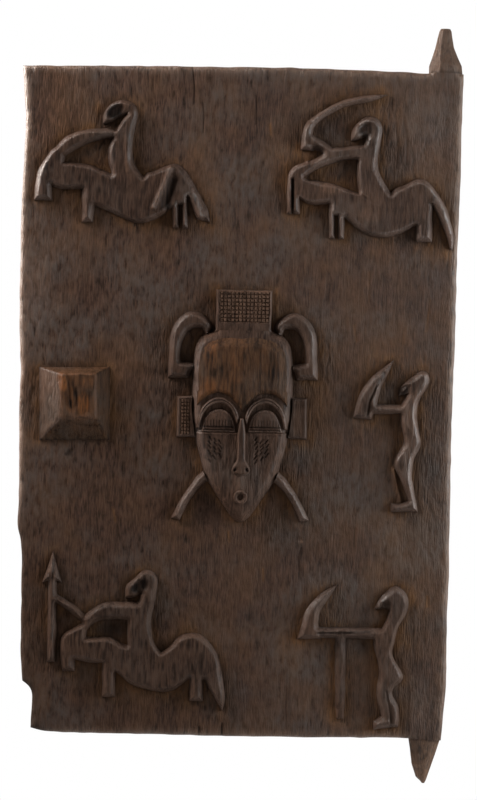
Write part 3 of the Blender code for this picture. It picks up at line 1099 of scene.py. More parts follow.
@dataclass
class LockBoss:
    """The square boss by the latch edge, with four slopes of unlike width and a worn top."""

    node: str = "lock_boss"
    place: Place = (-359.7, 369.5)
    foot_size: Pair = (70.0, 73.0)
    slopes: tuple[float, float, float, float] = (26.0, 15.5, 25.5, 8.5)
    relief: float = 17.28
    foot_lift: float = 0.1
    least_share: float = 0.08
    edge_sharpness: float = 16.0
    rise_limit: float = 1.5
    top: Span = Span(0.7, 0.2)
    face: Span = Span(-0.05, 0.05)
    swell: Swell = Swell(0.7, 6.0, 11.0, 42)
    side_swell: float = 0.35
    tool_marks: Swell = Swell(0.35, 2.2, 9.0, 43)
    streaks: Swell = Swell(0.55, 1.8, 10.0, 45)
    rubbed_edge: Band = Band(1.0, 0.09)
    edge_share: float = 0.86
    tones: Tones = Tones(0.25, 0.1, 0.5, 0.04)
    left_gloss: float = 0.35
    right_soot: float = 0.35
    step: float = 0.9
    waver: Swell = Swell(0.35, 9.0, 9.0, 41)
    spacing: float = 0.95
    rows: tuple[float, ...] = (0.6, 1.5, 2.6)
    seed: int = 44
    marks: tuple[Mark, ...] = (
        Patch((84, 404), (8, 14), lift=-0.5, wear=0.7),
        Patch((63, 382), (6, 12), wear=0.85, turn=20.0),
        Patch((72, 400), (9, 16), lift=-0.9, wear=0.3, soot=0.18),
        Patch((78, 396), (18, 22), wear=0.15, soot=0.2),
        Patch((88, 383), (9, 7), wear=0.3),
        Stroke(((70, 384), (72, 408)), 1.2, lift=-0.8, soot=0.22),
        Stroke(((77, 388), (78, 414)), 1.1, lift=-0.7, soot=0.22),
        Stroke(((91, 392), (90, 412)), 1.2, lift=-0.5, soot=0.4),
        Stroke(((80, 417), (100, 421)), 1.0, lift=-0.5, soot=0.3),
        Stroke(((76, 424), (101, 426)), 1.0, lift=-0.5, soot=0.3),
    )
    outline: Outline | None = None

    def trace(self, nodes: Nodes) -> None:
        """Reads the boss's outline."""
        self.outline = Outline.cut(foot_outline(nodes[self.node]), self.step, self.waver, 0)

    def surface(self, points: Array) -> Surface:
        """The boss's slopes and worn top.

        Args:
            points: Places on the leaf.

        Returns:
            Heights and colour shares.
        """
        right, up = turned(points - self.place, -PICTURE_LEAN).T
        half_width, half_height = self.foot_size[0] / 2, self.foot_size[1] / 2
        gaps = (half_width + right, half_width - right, half_height + up, half_height - up)
        rises = np.stack([*(gap / run for gap, run in zip(gaps, self.slopes)), np.ones(len(points))])
        blunted = np.exp(-self.edge_sharpness * np.clip(rises, 0.0, self.rise_limit)).sum(axis=0)
        share = -np.log(blunted) / self.edge_sharpness
        top = self.top.rise(share)
        left_face, right_face, low_face = (
            self.face.rise(rises.min(axis=0) - rise) * (1.0 - top) for rise in rises[:3]
        )
        cut = top + low_face
        height = self.relief * np.clip(share + self.foot_lift, self.least_share, 1.0)
        height += self.swell.at(points) * at_least(self.side_swell, top)
        height += self.tool_marks.at(points) * cut
        edge = self.rubbed_edge.at(share - self.edge_share)
        # Soot and painted shade at the foot, and painted shade on the right face, away from the stronger light.
        soot = self.tones.line(np.clip(share, 0.0, 1.0)) + self.right_soot * right_face
        soot += self.streaks.crests(points) * cut
        # A painted highlight on the rubbed edge and on the left face, towards the stronger light.
        gloss = self.tones.gloss * edge + self.left_gloss * left_face
        return mark(Surface(height, self.tones.wear * edge, soot, gloss), points, self.marks)

    def build(self) -> None:
        """Carves the boss."""
        form = Form(self.surface, self.spacing, self.rows, finish=Finish.WORN)
        form.carve(self.node, self.outline, self.seed)


@dataclass
class MaskForm:
    """One form of the mask, in measures across and up from the mask's middle, along its lean."""

    mask: Mask = field(repr=False)
    name: str

    def depth(self, points: Array) -> Array:
        """Distance in from the form's open outline."""
        return distance(self.mask.trees[self.name], points)

    def surface(self, points: Array) -> Surface:
        """Heights and colour shares, which each kind of form has its own rule for."""
        raise NotImplementedError


@dataclass
class Face(MaskForm):
    """The domed face, with hollow cheeks, sunk sockets and rows of nicks."""

    side: CutSide = CutSide(13.0, 8.5, 0.3, 2.0)
    crown: float = 2.4
    crown_reach: float = 52.0
    crown_edge: Span = Span(0.0, 12.0)
    cheek: Mound = Mound((25.0, -40.0), (12.0, 20.0), -1.9)
    jaw: Mound = Mound((0.0, -74.0), (15.0, 17.0), 1.7)
    swell: Swell = Swell(0.25, 9.0, 16.0, 51)
    rubbing: Swell = Swell(0.12, 9.0, 20.0, 52)
    streaks: Swell = Swell(0.6, 1.6, 11.0, 58)
    tones: Tones = Tones(0.2, 0.75, 0.35, 0.7)
    rim_start: Span = Span(0.0, 1.0)
    rim_end: Span = Span(6.0, 4.0)
    chin: Span = Span(-82.0, 45.0)
    temple: Span = Span(55.0, 30.0)
    dim_side: Span = Span(-40.0, 20.0)
    dimming: float = 0.8
    socket_depth: float = 2.4
    socket_edge: Span = Span(4.0, 2.4)
    socket_floor: Span = Span(-13.2, 1.6)
    socket_soot: Band = Band(0.12, 3.4)
    socket_shade: Span = Span(-13.2, 1.2)
    nick_columns: tuple[tuple[float, ...], ...] = ((32.5, 27.5, 22.5), (15.5, 21.0, 26.5))
    nick_rows: int = 6
    nick_start: float = -17.0
    nick_steps: Pair = (1.5, 4.4)
    nick_run: Pair = (2.4, 3.2)
    nick_slip: float = 0.7
    nick_seed: int = 57
    nick_blade: Blade = Blade(0.75, -1.2, 0.55)
    ridge: Line = ((0.0, -54.0), (0.0, -69.0))
    ridge_blade: Blade = Blade(2.6, 1.5)
    under_eye: Line = ((43.0, -14.0), (7.0, -14.5))
    under_eye_blade: Blade = Blade(0.9, 0.5)

    def height(self, points: Array) -> Array:
        """Height of the face without its sockets and the features that stand on it.

        Args:
            points: Places on the face.

        Returns:
            Heights above the ground.
        """
        across, up = self.mask.on_mask(points).T
        depth = self.depth(points)
        dome = np.clip(1.0 - (across / self.crown_reach) ** 2, 0.0, 1.0)
        height = self.side.height(depth) + self.crown * dome * self.crown_edge.rise(depth)
        height += self.cheek.at(np.abs(across), up) + self.jaw.at(across, up)
        return height + self.swell.at(points)

    def cuts(self) -> list[Stroke]:
        """The rows of nicks down the cheeks, the lines under the eyes and the ridge down to the mouth.

        Returns:
            The cuts.
        """
        cuts = [self.mask.cut_line(self.ridge, self.ridge_blade)]
        hand = np.random.default_rng(self.nick_seed)
        for side, columns in zip(Side, self.nick_columns):
            cuts.append(self.mask.cut_line(self.under_eye, self.under_eye_blade, side.sign))
            for count, column in enumerate(columns):
                for row in range(self.nick_rows - count):
                    slip, drop, run = hand.uniform(-self.nick_slip, self.nick_slip, 3)
                    fallen = self.nick_steps[0] * count + self.nick_steps[1] * row
                    start = (side.sign * column + slip, self.nick_start - fallen + drop)
                    end = (start[0] - side.sign * (self.nick_run[0] + run), start[1] - self.nick_run[1] - run)
                    cuts.append(self.mask.cut_line((start, end), self.nick_blade))
        return cuts

    def surface(self, points: Array) -> Surface:
        """The face with its sockets and cuts.

        Args:
            points: Places on the face.

        Returns:
            Heights and colour shares.
        """
        across, up = self.mask.on_mask(points).T
        depth = self.depth(points)
        lids = [f"{side.value}_eyelid" for side in Side]
        line = np.minimum(*(distance(self.mask.trees[lid], points) for lid in lids))
        covered = np.logical_or(*(within(self.mask.outlines[lid].points, points) for lid in lids))
        socket = self.socket_edge.fall(np.where(covered, 0.0, line)) * self.socket_floor.rise(up)
        # The rim is worn and carries a painted highlight, dimmed on the right side, towards the chin and at the
        # temples, where less light falls.
        rim = self.rim_start.rise(depth) * self.rim_end.fall(depth)
        rim *= self.chin.rise(up) * (1.0 - self.dimming * self.dim_side.rise(across)) * self.temple.fall(up)
        # Painted shade in the sunk sockets, with soot and painted shade along the outline.
        soot = self.tones.line(depth) + self.socket_soot.at(line) * self.socket_shade.rise(up)
        soot += self.streaks.crests(points) * (1.0 - rim)
        made = self.tones.surface(self.height(points) - self.socket_depth * socket, rim, soot)
        made.wear += self.rubbing.crests(points)
        return mark(made, points, self.cuts())


@dataclass
class Feature(MaskForm):
    """A feature that stands on the face, with rubbed rims that carry a painted highlight, and perhaps a groove along
    its crown.
    """

    side: CutSide
    groove: float = 0.0
    groove_edge: Span = Span(0.65, 0.45)
    groove_soot: float = 0.2
    rim: Band = Band(1.0, 0.5)
    rim_share: float = 0.6
    tones: Tones = Tones(0.4, 0.45, 0.3, 0.7)

    def surface(self, points: Array) -> Surface:
        """The feature at a set of places.

        Args:
            points: Places on the feature.

        Returns:
            Heights and colour shares.
        """
        depth = self.depth(points)
        share = depth / self.side.width
        cut = self.groove * self.groove_edge.rise(share)
        height = self.mask.face.height(points) + self.side.height(depth) - cut
        # Soot and painted shade along the outline, and painted shade in the groove.
        soot = self.tones.line(depth) + self.groove_soot * cut
        return self.tones.surface(height, self.rim.at(share - self.rim_share), soot)


@dataclass
class Nose(Feature):
    """The long narrow nose, which is cut flat along its bridge and sinks into the face below its wings."""

    end: float = -53.0
    end_curve: float = 0.04
    end_fade: Span = Span(0.0, 3.0)
    flat: Span = Span(1.0, 0.7)
    bridge: Span = Span(-45.0, 6.0)
    flat_cut: float = 0.9
    flat_soot: float = 0.55
    calm: float = 0.55
    wing_calm: float = 0.35
    wing_fade: Span = Span(-45.0, 10.0)
    nostril: Line = ((5.6, -48.8), (6.2, -50.0))
    nostril_blade: Blade = Blade(1.5, -3.0, 0.9)

    def surface(self, points: Array) -> Surface:
        """The nose with its nostrils.

        Args:
            points: Places on the nose.

        Returns:
            Heights and colour shares.
        """
        made = super().surface(points)
        across, up = self.mask.on_mask(points).T
        below = self.end_fade.rise(self.end + self.end_curve * across**2 - up)
        # The bridge is cut flat and darkened with painted shade, as its flat crown catches little of the side light.
        flat = self.flat.rise(self.depth(points)) * self.bridge.rise(up)
        made.height -= below * self.side.relief + self.flat_cut * flat
        made.soot += self.flat_soot * flat
        # The painted highlight and the wear fade towards the wings.
        calm = self.calm * (1.0 - below) * at_least(self.wing_calm, self.wing_fade.rise(up))
        made.gloss *= calm
        made.wear *= calm
        return mark(
            made, points, [self.mask.cut_line(self.nostril, self.nostril_blade, side.sign) for side in Side]
        )


@dataclass
class Forehead(MaskForm):
    """The forehead between the brows' arcs and the temples, with its rubbed places and fine tool marks."""

    side: CutSide = CutSide(4.6, 4.0, 0.15)
    arc_top: float = 30.0
    arc_rim: Band = Band(0.1, 2.0)
    arc_rim_at: float = 3.0
    temple_cut: float = 0.5
    temple_edge: Span = Span(0.0, 2.5)
    temple_rise: Span = Span(0.0, 11.0)
    temple_wear: float = 0.35
    temple_fade: Span = Span(0.0, 9.0)
    swell: Swell = Swell(0.3, 3.2, 20.0, 53)
    streaks: Swell = Swell(0.75, 1.7, 15.0, 54)
    tones: Tones = Tones(0.12, 0.0, 0.4, 0.8)
    marks: tuple[Patch, ...] = (
        Patch((211, 352), (10, 24), wear=0.5, turn=4.0, edge=0.1),
        Patch((211, 386), (9, 16), wear=0.42, edge=0.1),
        Patch((238, 335), (26, 8), wear=0.35, edge=0.1),
        Patch((234, 372), (16, 28), wear=0.2, edge=0.1),
        Patch((243, 373), (5, 9), lift=-0.4, soot=0.35, edge=0.1),
        Patch((272, 372), (9, 34), soot=0.4, edge=0.1),
    )

    def surface(self, points: Array) -> Surface:
        """The forehead at a set of places.

        Args:
            points: Places on the forehead.

        Returns:
            Heights and colour shares.
        """
        rim = self.mask.outlines[self.name].open_line()
        low = self.mask.on_mask(rim)[:, 1] < self.arc_top
        arcs, temples = (distance(nearest_tree(rim[part]), points) for part in (low, ~low))
        height = self.mask.face.height(points) - self.temple_cut * self.temple_edge.fall(temples)
        height += self.side.height(arcs) * self.temple_rise.rise(temples) + self.swell.at(points)
        wear = self.tones.wear + self.arc_rim.at(arcs - self.arc_rim_at)
        soot = self.tones.line(arcs) + self.streaks.crests(points)
        made = mark(Surface(height, wear, soot), points, self.marks)
        made.wear = made.wear * at_least(self.temple_wear, self.temple_fade.rise(temples))
        return made


@dataclass
class Eyelid(MaskForm):
    """A closed eye: a dome with a slit and short lashes."""

    sign: float
    side: CutSide = CutSide(4.6, 7.5, 0.18, 2.0)
    rim: Band = Band(1.0, 0.9)
    rim_at: float = 0.9
    rim_lift: float = 0.8
    tones: Tones = Tones(0.7, 0.5, 0.15)
    shade: Pair = (1.5, 2.0)
    slit_ends: Pair = (8.0, 38.0)
    slit: tuple[tuple[float, Blade], ...] = ((-7.0, Blade(0.75, -1.3, 0.7)), (-9.9, Blade(0.7, -1.2, 0.6)))
    lash_count: int = 10
    lash_start: float = 10.5
    lash_step: float = 2.9
    lash_ends: Pair = (-6.0, -0.5)
    lash_blade: Blade = Blade(0.55, -0.6, 0.45)

    def cuts(self) -> list[Stroke]:
        """The slit's two edges and the lashes.

        Returns:
            The cuts.
        """
        inner, outer = self.slit_ends
        low, high = self.lash_ends
        cuts = [self.mask.cut_line(((inner, up), (outer, up)), blade, self.sign) for up, blade in self.slit]
        for count in range(self.lash_count):
            across = self.lash_start + self.lash_step * count
            cuts.append(self.mask.cut_line(((across, low), (across, high)), self.lash_blade, self.sign))
        return cuts

    def surface(self, points: Array) -> Surface:
        """The eye at a set of places.

        Args:
            points: Places on the eye.

        Returns:
            Heights and colour shares.
        """
        depth = self.depth(points)
        rim = self.rim.at(depth - self.rim_at)
        height = self.mask.face.height(points) - self.mask.face.socket_depth
        height += self.side.height(depth) + self.rim_lift * rim
        soot = self.tones.soot * np.clip((depth - self.shade[0]) / self.shade[1], 0.0, 1.0)
        return mark(self.tones.surface(height, rim, soot), points, self.cuts())


@dataclass
class Mouth(MaskForm):
    """The pursed mouth: a ring round a small hole."""

    relief: float = 3.4
    place: Place = (0.0, -76.5)
    pit: Span = Span(1.5, 2.1)
    ring: Band = Band(1.0, 1.9)
    ring_at: float = 5.4
    base: float = 0.25
    tones: Tones = Tones(0.06, 0.08, 0.65)
    edge: Span = Span(6.6, 1.0)
    edge_soot: float = 0.3

    def surface(self, points: Array) -> Surface:
        """The mouth at a set of places.

        Args:
            points: Places on the mouth.

        Returns:
            Heights and colour shares.
        """
        away = self.mask.on_mask(points) - self.place
        reach = np.hypot(away[:, 0], away[:, 1])
        ring, pit = self.ring.at(reach - self.ring_at), self.pit.fall(reach)
        height = self.mask.face.height(points) + self.relief * (at_least(self.base, ring) - pit)
        # The pit, and the outer edge where the mouth meets the face, are darkened with painted shade.
        return self.tones.surface(height, ring, self.tones.soot * pit + self.edge_soot * self.edge.rise(reach))


@dataclass
class Block(MaskForm):
    """A form that stands on the ground beside the face."""

    side: CutSide
    marks: Sequence[Mark] = ()
    swell: Swell = Swell(0.2, 7.0, 12.0, 55)
    rubbing: Swell = Swell(0.4, 8.0, 12.0, 56, 0.6)
    tones: Tones = Tones(0.22, 0.65, 0.35, 0.6)

    def surface(self, points: Array) -> Surface:
        """The form at a set of places.

        Args:
            points: Places on the form.

        Returns:
            Heights and colour shares.
        """
        depth = self.depth(points)
        height = self.side.height(depth) + self.swell.at(points)
        rubbed = self.side.slope(depth) * self.rubbing.at(points)
        return mark(self.tones.surface(height, rubbed, self.tones.line(depth)), points, self.marks)


@dataclass
class FramedBlock(Block):
    """A block with a sunk field, which has room for hatching."""

    centre: Place = (0.0, 0.0)
    size: Pair = (0.0, 0.0)
    sunk: float = 0.0
    soot: float = 0.0
    edge: Span = Span(-0.4, 0.9)
    wear: float = 0.6

    def surface(self, points: Array) -> Surface:
        """The block at a set of places.

        Args:
            points: Places on the block.

        Returns:
            Heights and colour shares.
        """
        made = super().surface(points)
        inside = np.array(self.size) / 2 - np.abs(self.mask.on_mask(points) - self.centre)
        share = self.edge.rise(inside.min(axis=1))
        made.height = made.height - self.sunk * share
        made.wear = made.wear * (1.0 - share) + self.wear * self.sunk * share
        made.gloss = made.gloss * (1.0 - share)
        made.soot = made.soot + self.soot
        return made


@dataclass
class Mask:
    """The horned mask: a domed face with its features, and the crest, horns, ears and legs round it."""

    place: Place = (-192.0, 358.0)
    lean: float = math.radians(0.7)
    step: float = 0.8
    waver: Swell = Swell(0.3, 9.0, 9.0, 60)
    fine_waver: Swell = Swell(0.12, 9.0, 9.0, 60)
    seed: int = 70
    seat: float = 6.0
    face_rows: tuple[float, ...] = (0.5, 1.2, 2.0, 3.0, 4.2, 5.6)
    nose: CutSide = CutSide(6.4, 1.8, 0.12, 1.4)
    brow: CutSide = CutSide(3.6, 1.9, 0.12)
    brow_groove: float = 1.3
    horn: CutSide = CutSide(10.0, 5.2)
    leg: CutSide = CutSide(9.0, 4.6)
    crest: CutSide = CutSide(11.0, 2.0)
    crest_reach: float = 2.0
    crest_centre: Place = (0.5, 113.5)
    crest_size: Pair = (49.5, 31.5)
    crest_sunk: float = 1.5
    ear: CutSide = CutSide(9.0, 2.0)
    ear_centres: tuple[Place, Place] = ((-56.5, 2.5), (56.5, 2.5))
    ear_size: Pair = (9.0, 35.0)
    ear_fields: tuple[Pair, Pair] = ((1.3, 0.0), (0.6, 0.25))
    horn_places: tuple[Patch, ...] = (
        Patch((190, 342), (42, 60), soot=0.2),
        Patch((297, 342), (42, 60), soot=0.13),
    )
    face: Face = field(init=False)
    outlines: dict[str, Outline] = field(default_factory=dict)
    trees: dict[str, Tree] = field(default_factory=dict)

    def __post_init__(self) -> None:
        """Starts with the face, which the features stand on."""
        self.face = Face(self, "face")

    def on_mask(self, points: Array) -> Array:
        """Places on the leaf, in the mask's own measures."""
        return turned(points - self.place, -self.lean)

    def from_mask(self, points: Sequence[Place] | Array) -> Array:
        """Places in the mask's own measures, measured on the leaf."""
        return turned(np.array(points, float), self.lean) + self.place

    def cut_line(self, line: Line, blade: Blade, sign: float = 1.0) -> Stroke:
        """A stroke in the mask's own measures, or its mirror image where the sign is -1."""
        placed = self.from_mask(np.array(line, float) * (sign, 1.0))
        return Stroke(placed, blade.width, blade.lift, soot=blade.soot, read_off=False)

    def trace(self, nodes: Nodes) -> None:
        """Reads the outlines of the mask's solids.

        Args:
            nodes: The frame's solids.
        """
        prefix = "mask_"
        loops = {
            name.removeprefix(prefix): foot_outline(node) for name, node in nodes.items() if name.startswith(prefix)
        }
        crest = loops["crest"]
        crest[crest[:, 1] < crest[:, 1].mean(), 1] -= self.crest_reach
        around = {name: loops[name] for name in ("face", "crest")}
        for count, (name, loop) in enumerate(sorted(loops.items())):
            meets: list[Array] = []
            if name in around or name.endswith(("horn", "ear", "leg")):
                meets = [other for label, other in around.items() if label != name]
            waver = self.fine_waver if name.endswith(("brow", "eyelid", "nose", "mouth")) else self.waver
            self.outlines[name] = Outline.cut(loop, self.step, waver, count, meets)
            self.trees[name] = nearest_tree(self.outlines[name].open_line())

    def build(self) -> None:
        """Carves the face, its features and the forms round it."""
        on_face = {"rows": FINE_ROWS, "foot": self.seat}
        forms: list[tuple[MaskForm, Form]] = []

        def add(form: MaskForm, **carving: object) -> None:
            """Adds a form with how it is carved."""
            forms.append((form, Form(form.surface, **carving)))

        add(self.face, spacing=0.85, rows=self.face_rows)
        add(Forehead(self, "forehead"), spacing=0.9, foot=self.seat, finish=Finish.WORN)
        add(Nose(self, "nose", self.nose), spacing=0.7, **on_face)
        add(Mouth(self, "mouth"), spacing=0.6, **on_face)
        crest = FramedBlock(
            self, "crest", self.crest, centre=self.crest_centre, size=self.crest_size, sunk=self.crest_sunk
        )
        add(crest, spacing=0.8)
        for side, centre, (sunk, soot) in zip(Side, self.ear_centres, self.ear_fields):
            label = side.value
            add(Feature(self, f"{label}_brow", self.brow, groove=self.brow_groove), spacing=0.5, **on_face)
            add(Eyelid(self, f"{label}_eyelid", side.sign), spacing=0.65, **on_face)
            add(Block(self, f"{label}_horn", self.horn, self.horn_places), spacing=0.95)
            add(Block(self, f"{label}_leg", self.leg), spacing=0.9)
            ear = FramedBlock(
                self, f"{label}_ear", self.ear, centre=centre, size=self.ear_size, sunk=sunk, soot=soot
            )
            add(ear, spacing=0.8)
        for form, carving in forms:
            carving.carve(f"mask_{form.name}", self.outlines[form.name], self.seed)

    def hatchings(self) -> list[Hatching]:
        """The hatched fields of the crest and the left ear.

        Returns:
            The hatchings.
        """
        crest, ear = self.from_mask([self.crest_centre, self.ear_centres[0]])
        return [
            Hatching(
                "crest_hatching", crest, self.lean, size=(45.6, 27.6), columns=13, rows=8, stud=(3.5, 3.6), height=9.5,
                rise=1.1, seed=5,
            ),
            Hatching(
                "left_ear_hatching", ear, self.lean, size=(5.8, 32.0), columns=3, rows=10, stud=(2.6, 3.2), height=7.7,
                rise=1.2, seed=6,
            ),
        ]


@dataclass
class Hatching:
    """Rows of small studs left standing by crossed cuts, on a sunk field."""

    name: str
    centre: Array
    lean: float
    size: Pair
    columns: int
    rows: int
    stud: Pair
    height: float
    rise: float
    seed: int
    bedding: float = 0.2
    least_scale: Point = (0.72, 0.7, 0.75)
    wear: float = 0.5
    finish: Finish = Finish.CARVING

    @staticmethod
    def tree() -> bpy.types.NodeTree:
        """The node tree that sets the studs out, made once.

        Returns:
            The tree, with named inputs for its sizes.
        """
        label = "crossed_cuts"
        found = bpy.data.node_groups.get(label)
        if found is not None:
            return found
        tree = bpy.data.node_groups.new(label, "GeometryNodeTree")
        tree.is_modifier = True
        for name, kind in {
            "Geometry": "Geometry", "Columns": "Int", "Rows": "Int", "Width": "Float", "Height": "Float",
            "Stud Size": "Vector", "Least Scale": "Vector", "Seed": "Int", "Place": "Vector", "Turn": "Rotation",
            "Material": "Material",
        }.items():
            tree.interface.new_socket(name, in_out="INPUT", socket_type=f"NodeSocket{kind}")
        tree.interface.new_socket("Geometry", in_out="OUTPUT", socket_type="NodeSocketGeometry")
        board = NodeBoard(tree)
        given, result = board.add("NodeGroupInput"), board.add("NodeGroupOutput")
        grid = board.add("GeometryNodeMeshGrid")
        stud = board.add("GeometryNodeMeshCone", fill_type="NGON")
        square, sized, placed = (board.add("GeometryNodeTransform") for _ in range(3))
        uneven = board.add("FunctionNodeRandomValue", data_type="FLOAT_VECTOR")
        spread = board.add("GeometryNodeInstanceOnPoints")
        real = board.add("GeometryNodeRealizeInstances")
        dressed = board.add("GeometryNodeSetMaterial")
        for node, entry, value in (
            (stud, "Vertices", 4), (stud, "Radius Top", 0.5), (stud, "Radius Bottom", 0.72), (stud, "Depth", 1.0),
            (square, "Rotation", (0.0, 0.0, math.pi / 4)), (uneven, 1, (1.0, 1.0, 1.0)),
        ):
            node.inputs[entry].default_value = value
        for source, leaving, target, entry in (
            (given, "Width", grid, "Size X"), (given, "Height", grid, "Size Y"),
            (given, "Columns", grid, "Vertices X"), (given, "Rows", grid, "Vertices Y"),
            (stud, "Mesh", square, "Geometry"), (square, "Geometry", sized, "Geometry"),
            (given, "Stud Size", sized, "Scale"), (given, "Least Scale", uneven, 0), (given, "Seed", uneven, "Seed"),
            (grid, "Mesh", spread, "Points"), (sized, "Geometry", spread, "Instance"), (uneven, 0, spread, "Scale"),
            (spread, "Instances", placed, "Geometry"), (given, "Place", placed, "Translation"),
            (given, "Turn", placed, "Rotation"), (placed, "Geometry", real, "Geometry"),
            (real, "Geometry", dressed, "Geometry"), (given, "Material", dressed, "Material"),
            (dressed, "Geometry", result, "Geometry"),
        ):
            board.join(source.outputs[leaving], target.inputs[entry])
        return tree

    def build(self) -> None:
        """Sets the studs out and bakes them to a plain mesh."""
        tree = self.tree()
        maker = in_scene(f"{self.name}_maker", bpy.data.meshes.new(f"{self.name}_maker"))
        modifier = maker.modifiers.new(tree.name, "NODES")
        modifier.node_group = tree
        middle = in_space(self.centre[None], np.array([self.height + self.rise / 2 - self.bedding]))[0]
        values: dict[str, object] = {
            "Columns": self.columns,
            "Rows": self.rows,
            "Width": self.size[0] * MM,
            "Height": self.size[1] * MM,
            "Stud Size": (self.stud[0] * MM, self.stud[1] * MM, (self.rise + 2 * self.bedding) * MM),
            "Least Scale": self.least_scale,
            "Seed": self.seed,
            "Place": tuple(float(value) for value in middle),
            "Turn": (math.pi / 2, -self.lean, 0.0),
            "Material": self.finish.value.material(),
        }
        for item in tree.interface.items_tree:
            if item.in_out == "INPUT" and item.name in values:
                modifier[item.identifier] = values[item.name]
        bpy.context.view_layer.update()
        graph = bpy.context.evaluated_depsgraph_get()
        mesh = bpy.data.meshes.new_from_object(maker.evaluated_get(graph))
        maker.modifiers.remove(modifier)
        bpy.data.objects.remove(maker)
        mesh.name = self.name
        keep_shares(mesh, wear=np.full(len(mesh.vertices), self.wear))
        set_piece(self.name, mesh, self.finish)


@dataclass
class Pintles:
    """The two hewn pivot pins, faceted with an axe and worn at their tips.

    Each profile gives height, latch side and hinge side, from the plank to the tip.
    """

    facets: int = 8
    facet_reach: float = 0.99
    corner_reach: float = 1.05
    samples: int = 72
    sample_spread: float = 6.0
    ring_step: float = 1.1
    depth_share: float = 0.98
    crease: float = math.radians(24)
    swell: Swell = Swell(0.018, 1.6, 7.0, 0, 1.0)
    rubbing: Swell = Swell(1.0, 6.0, 9.0)
    shoulder_soot: Band = Band(0.4, 1.6)
    gloss: Pair = (0.5, 0.3)
    upper: tuple[Point, ...] = (
        (705.0, -14.6, 18.4), (712.5, -15.0, 18.6), (719.5, -15.0, 17.6), (728.0, -12.4, 13.6), (738.0, -9.3, 9.4),
        (748.0, -7.2, 7.4), (754.5, -5.7, 6.4), (757.0, -4.4, 5.0),
    )
    lower: tuple[Point, ...] = (
        (52.0, -14.6, 16.8), (44.0, -14.8, 16.8), (33.0, -12.8, 13.6), (19.0, -11.0, 9.2), (9.0, -7.4, 6.2),
        (5.5, -6.2, 5.2), (2.0, -2.2, 4.0), (-0.8, 0.2, 2.6),
    )

    def ring(self, height: float, low: float, high: float, seed: int) -> Array:
        """One faceted ring of a pin.

        Args:
            height: Where it is along the pivot line.
            low: Its latch side.
            high: Its hinge side.
            seed: Which unevenness.

        Returns:
            Its points in metres.
        """
        angle = np.arange(self.samples) * math.tau / self.samples
        wedge = math.tau / self.facets
        from_middle = (angle + wedge / 2) % wedge - wedge / 2
        reach = np.minimum(self.facet_reach / np.cos(from_middle), self.corner_reach)
        level = np.full(self.samples, height)
        reach = reach * self.swell.at(np.stack([angle * self.sample_spread, level], axis=1), seed)
        half = (high - low) / 2
        across = (low + high) / 2 + half * reach * np.cos(angle)
        depth = half * self.depth_share * reach * np.sin(angle)
        return np.stack([across, depth, level], axis=1) * MM

    def pin(self, node: str, profile: Sequence[Point], rubbed: float, seed: int) -> None:
        """Hews one pin.

        Args:
            node: The solid that it stands for.
            profile: Height, latch side and hinge side along it, from the plank to its tip.
            rubbed: Share of its surface that is rubbed bare.
            seed: Which unevenness.
        """
        name = f"{node}_hewn"
        heights, lows, highs = np.array(profile).T
        run = np.concatenate([[0.0], np.cumsum(np.abs(np.diff(heights)))])
        steps = np.linspace(0.0, run[-1], round(run[-1] / self.ring_step) + 1)
        rings = [
            self.ring(*(float(np.interp(step, run, values)) for values in (heights, lows, highs)), seed)
            for step in steps
        ]
        shape = bmesh.new()
        rows = [[shape.verts.new(place) for place in ring] for ring in rings]
        for lower, upper in zip(rows[:-1], rows[1:]):
            for index in range(self.samples):
                after = (index + 1) % self.samples
                shape.faces.new((lower[index], lower[after], upper[after], upper[index]))
        for row in (rows[0], rows[-1]):
            shape.faces.new(row)
        bmesh.ops.recalc_face_normals(shape, faces=shape.faces)
        mesh = bpy.data.meshes.new(name)
        shape.to_mesh(mesh)
        shape.free()
        spots = np.array([(vert.co.x, vert.co.z) for vert in mesh.vertices]) / MM
        tip = np.clip(np.abs(spots[:, 1] - heights[0]) / abs(heights[-1] - heights[0]), 0.0, 1.0)
        keep_shares(
            mesh,
            wear=rubbed * (1.0 + self.rubbing.crests(spots, seed) + tip),
            # A painted shadow line where the pin meets the plank.
            soot=self.shoulder_soot.at(spots[:, 1] - heights[1]),
            gloss=rubbed * (self.gloss[0] + self.gloss[1] * tip),
        )
        smoothed(mesh, self.crease)
        set_piece(name, mesh, Finish.PLANK, node)

    def build(self) -> None:
        """Hews both pins."""
        # The lower pin is rubbed more, so it is lighter, with more gloss and painted sheen.
        self.pin("upper_pintle", self.upper, rubbed=0.12, seed=81)
        self.pin("lower_pintle", self.lower, rubbed=0.45, seed=82)


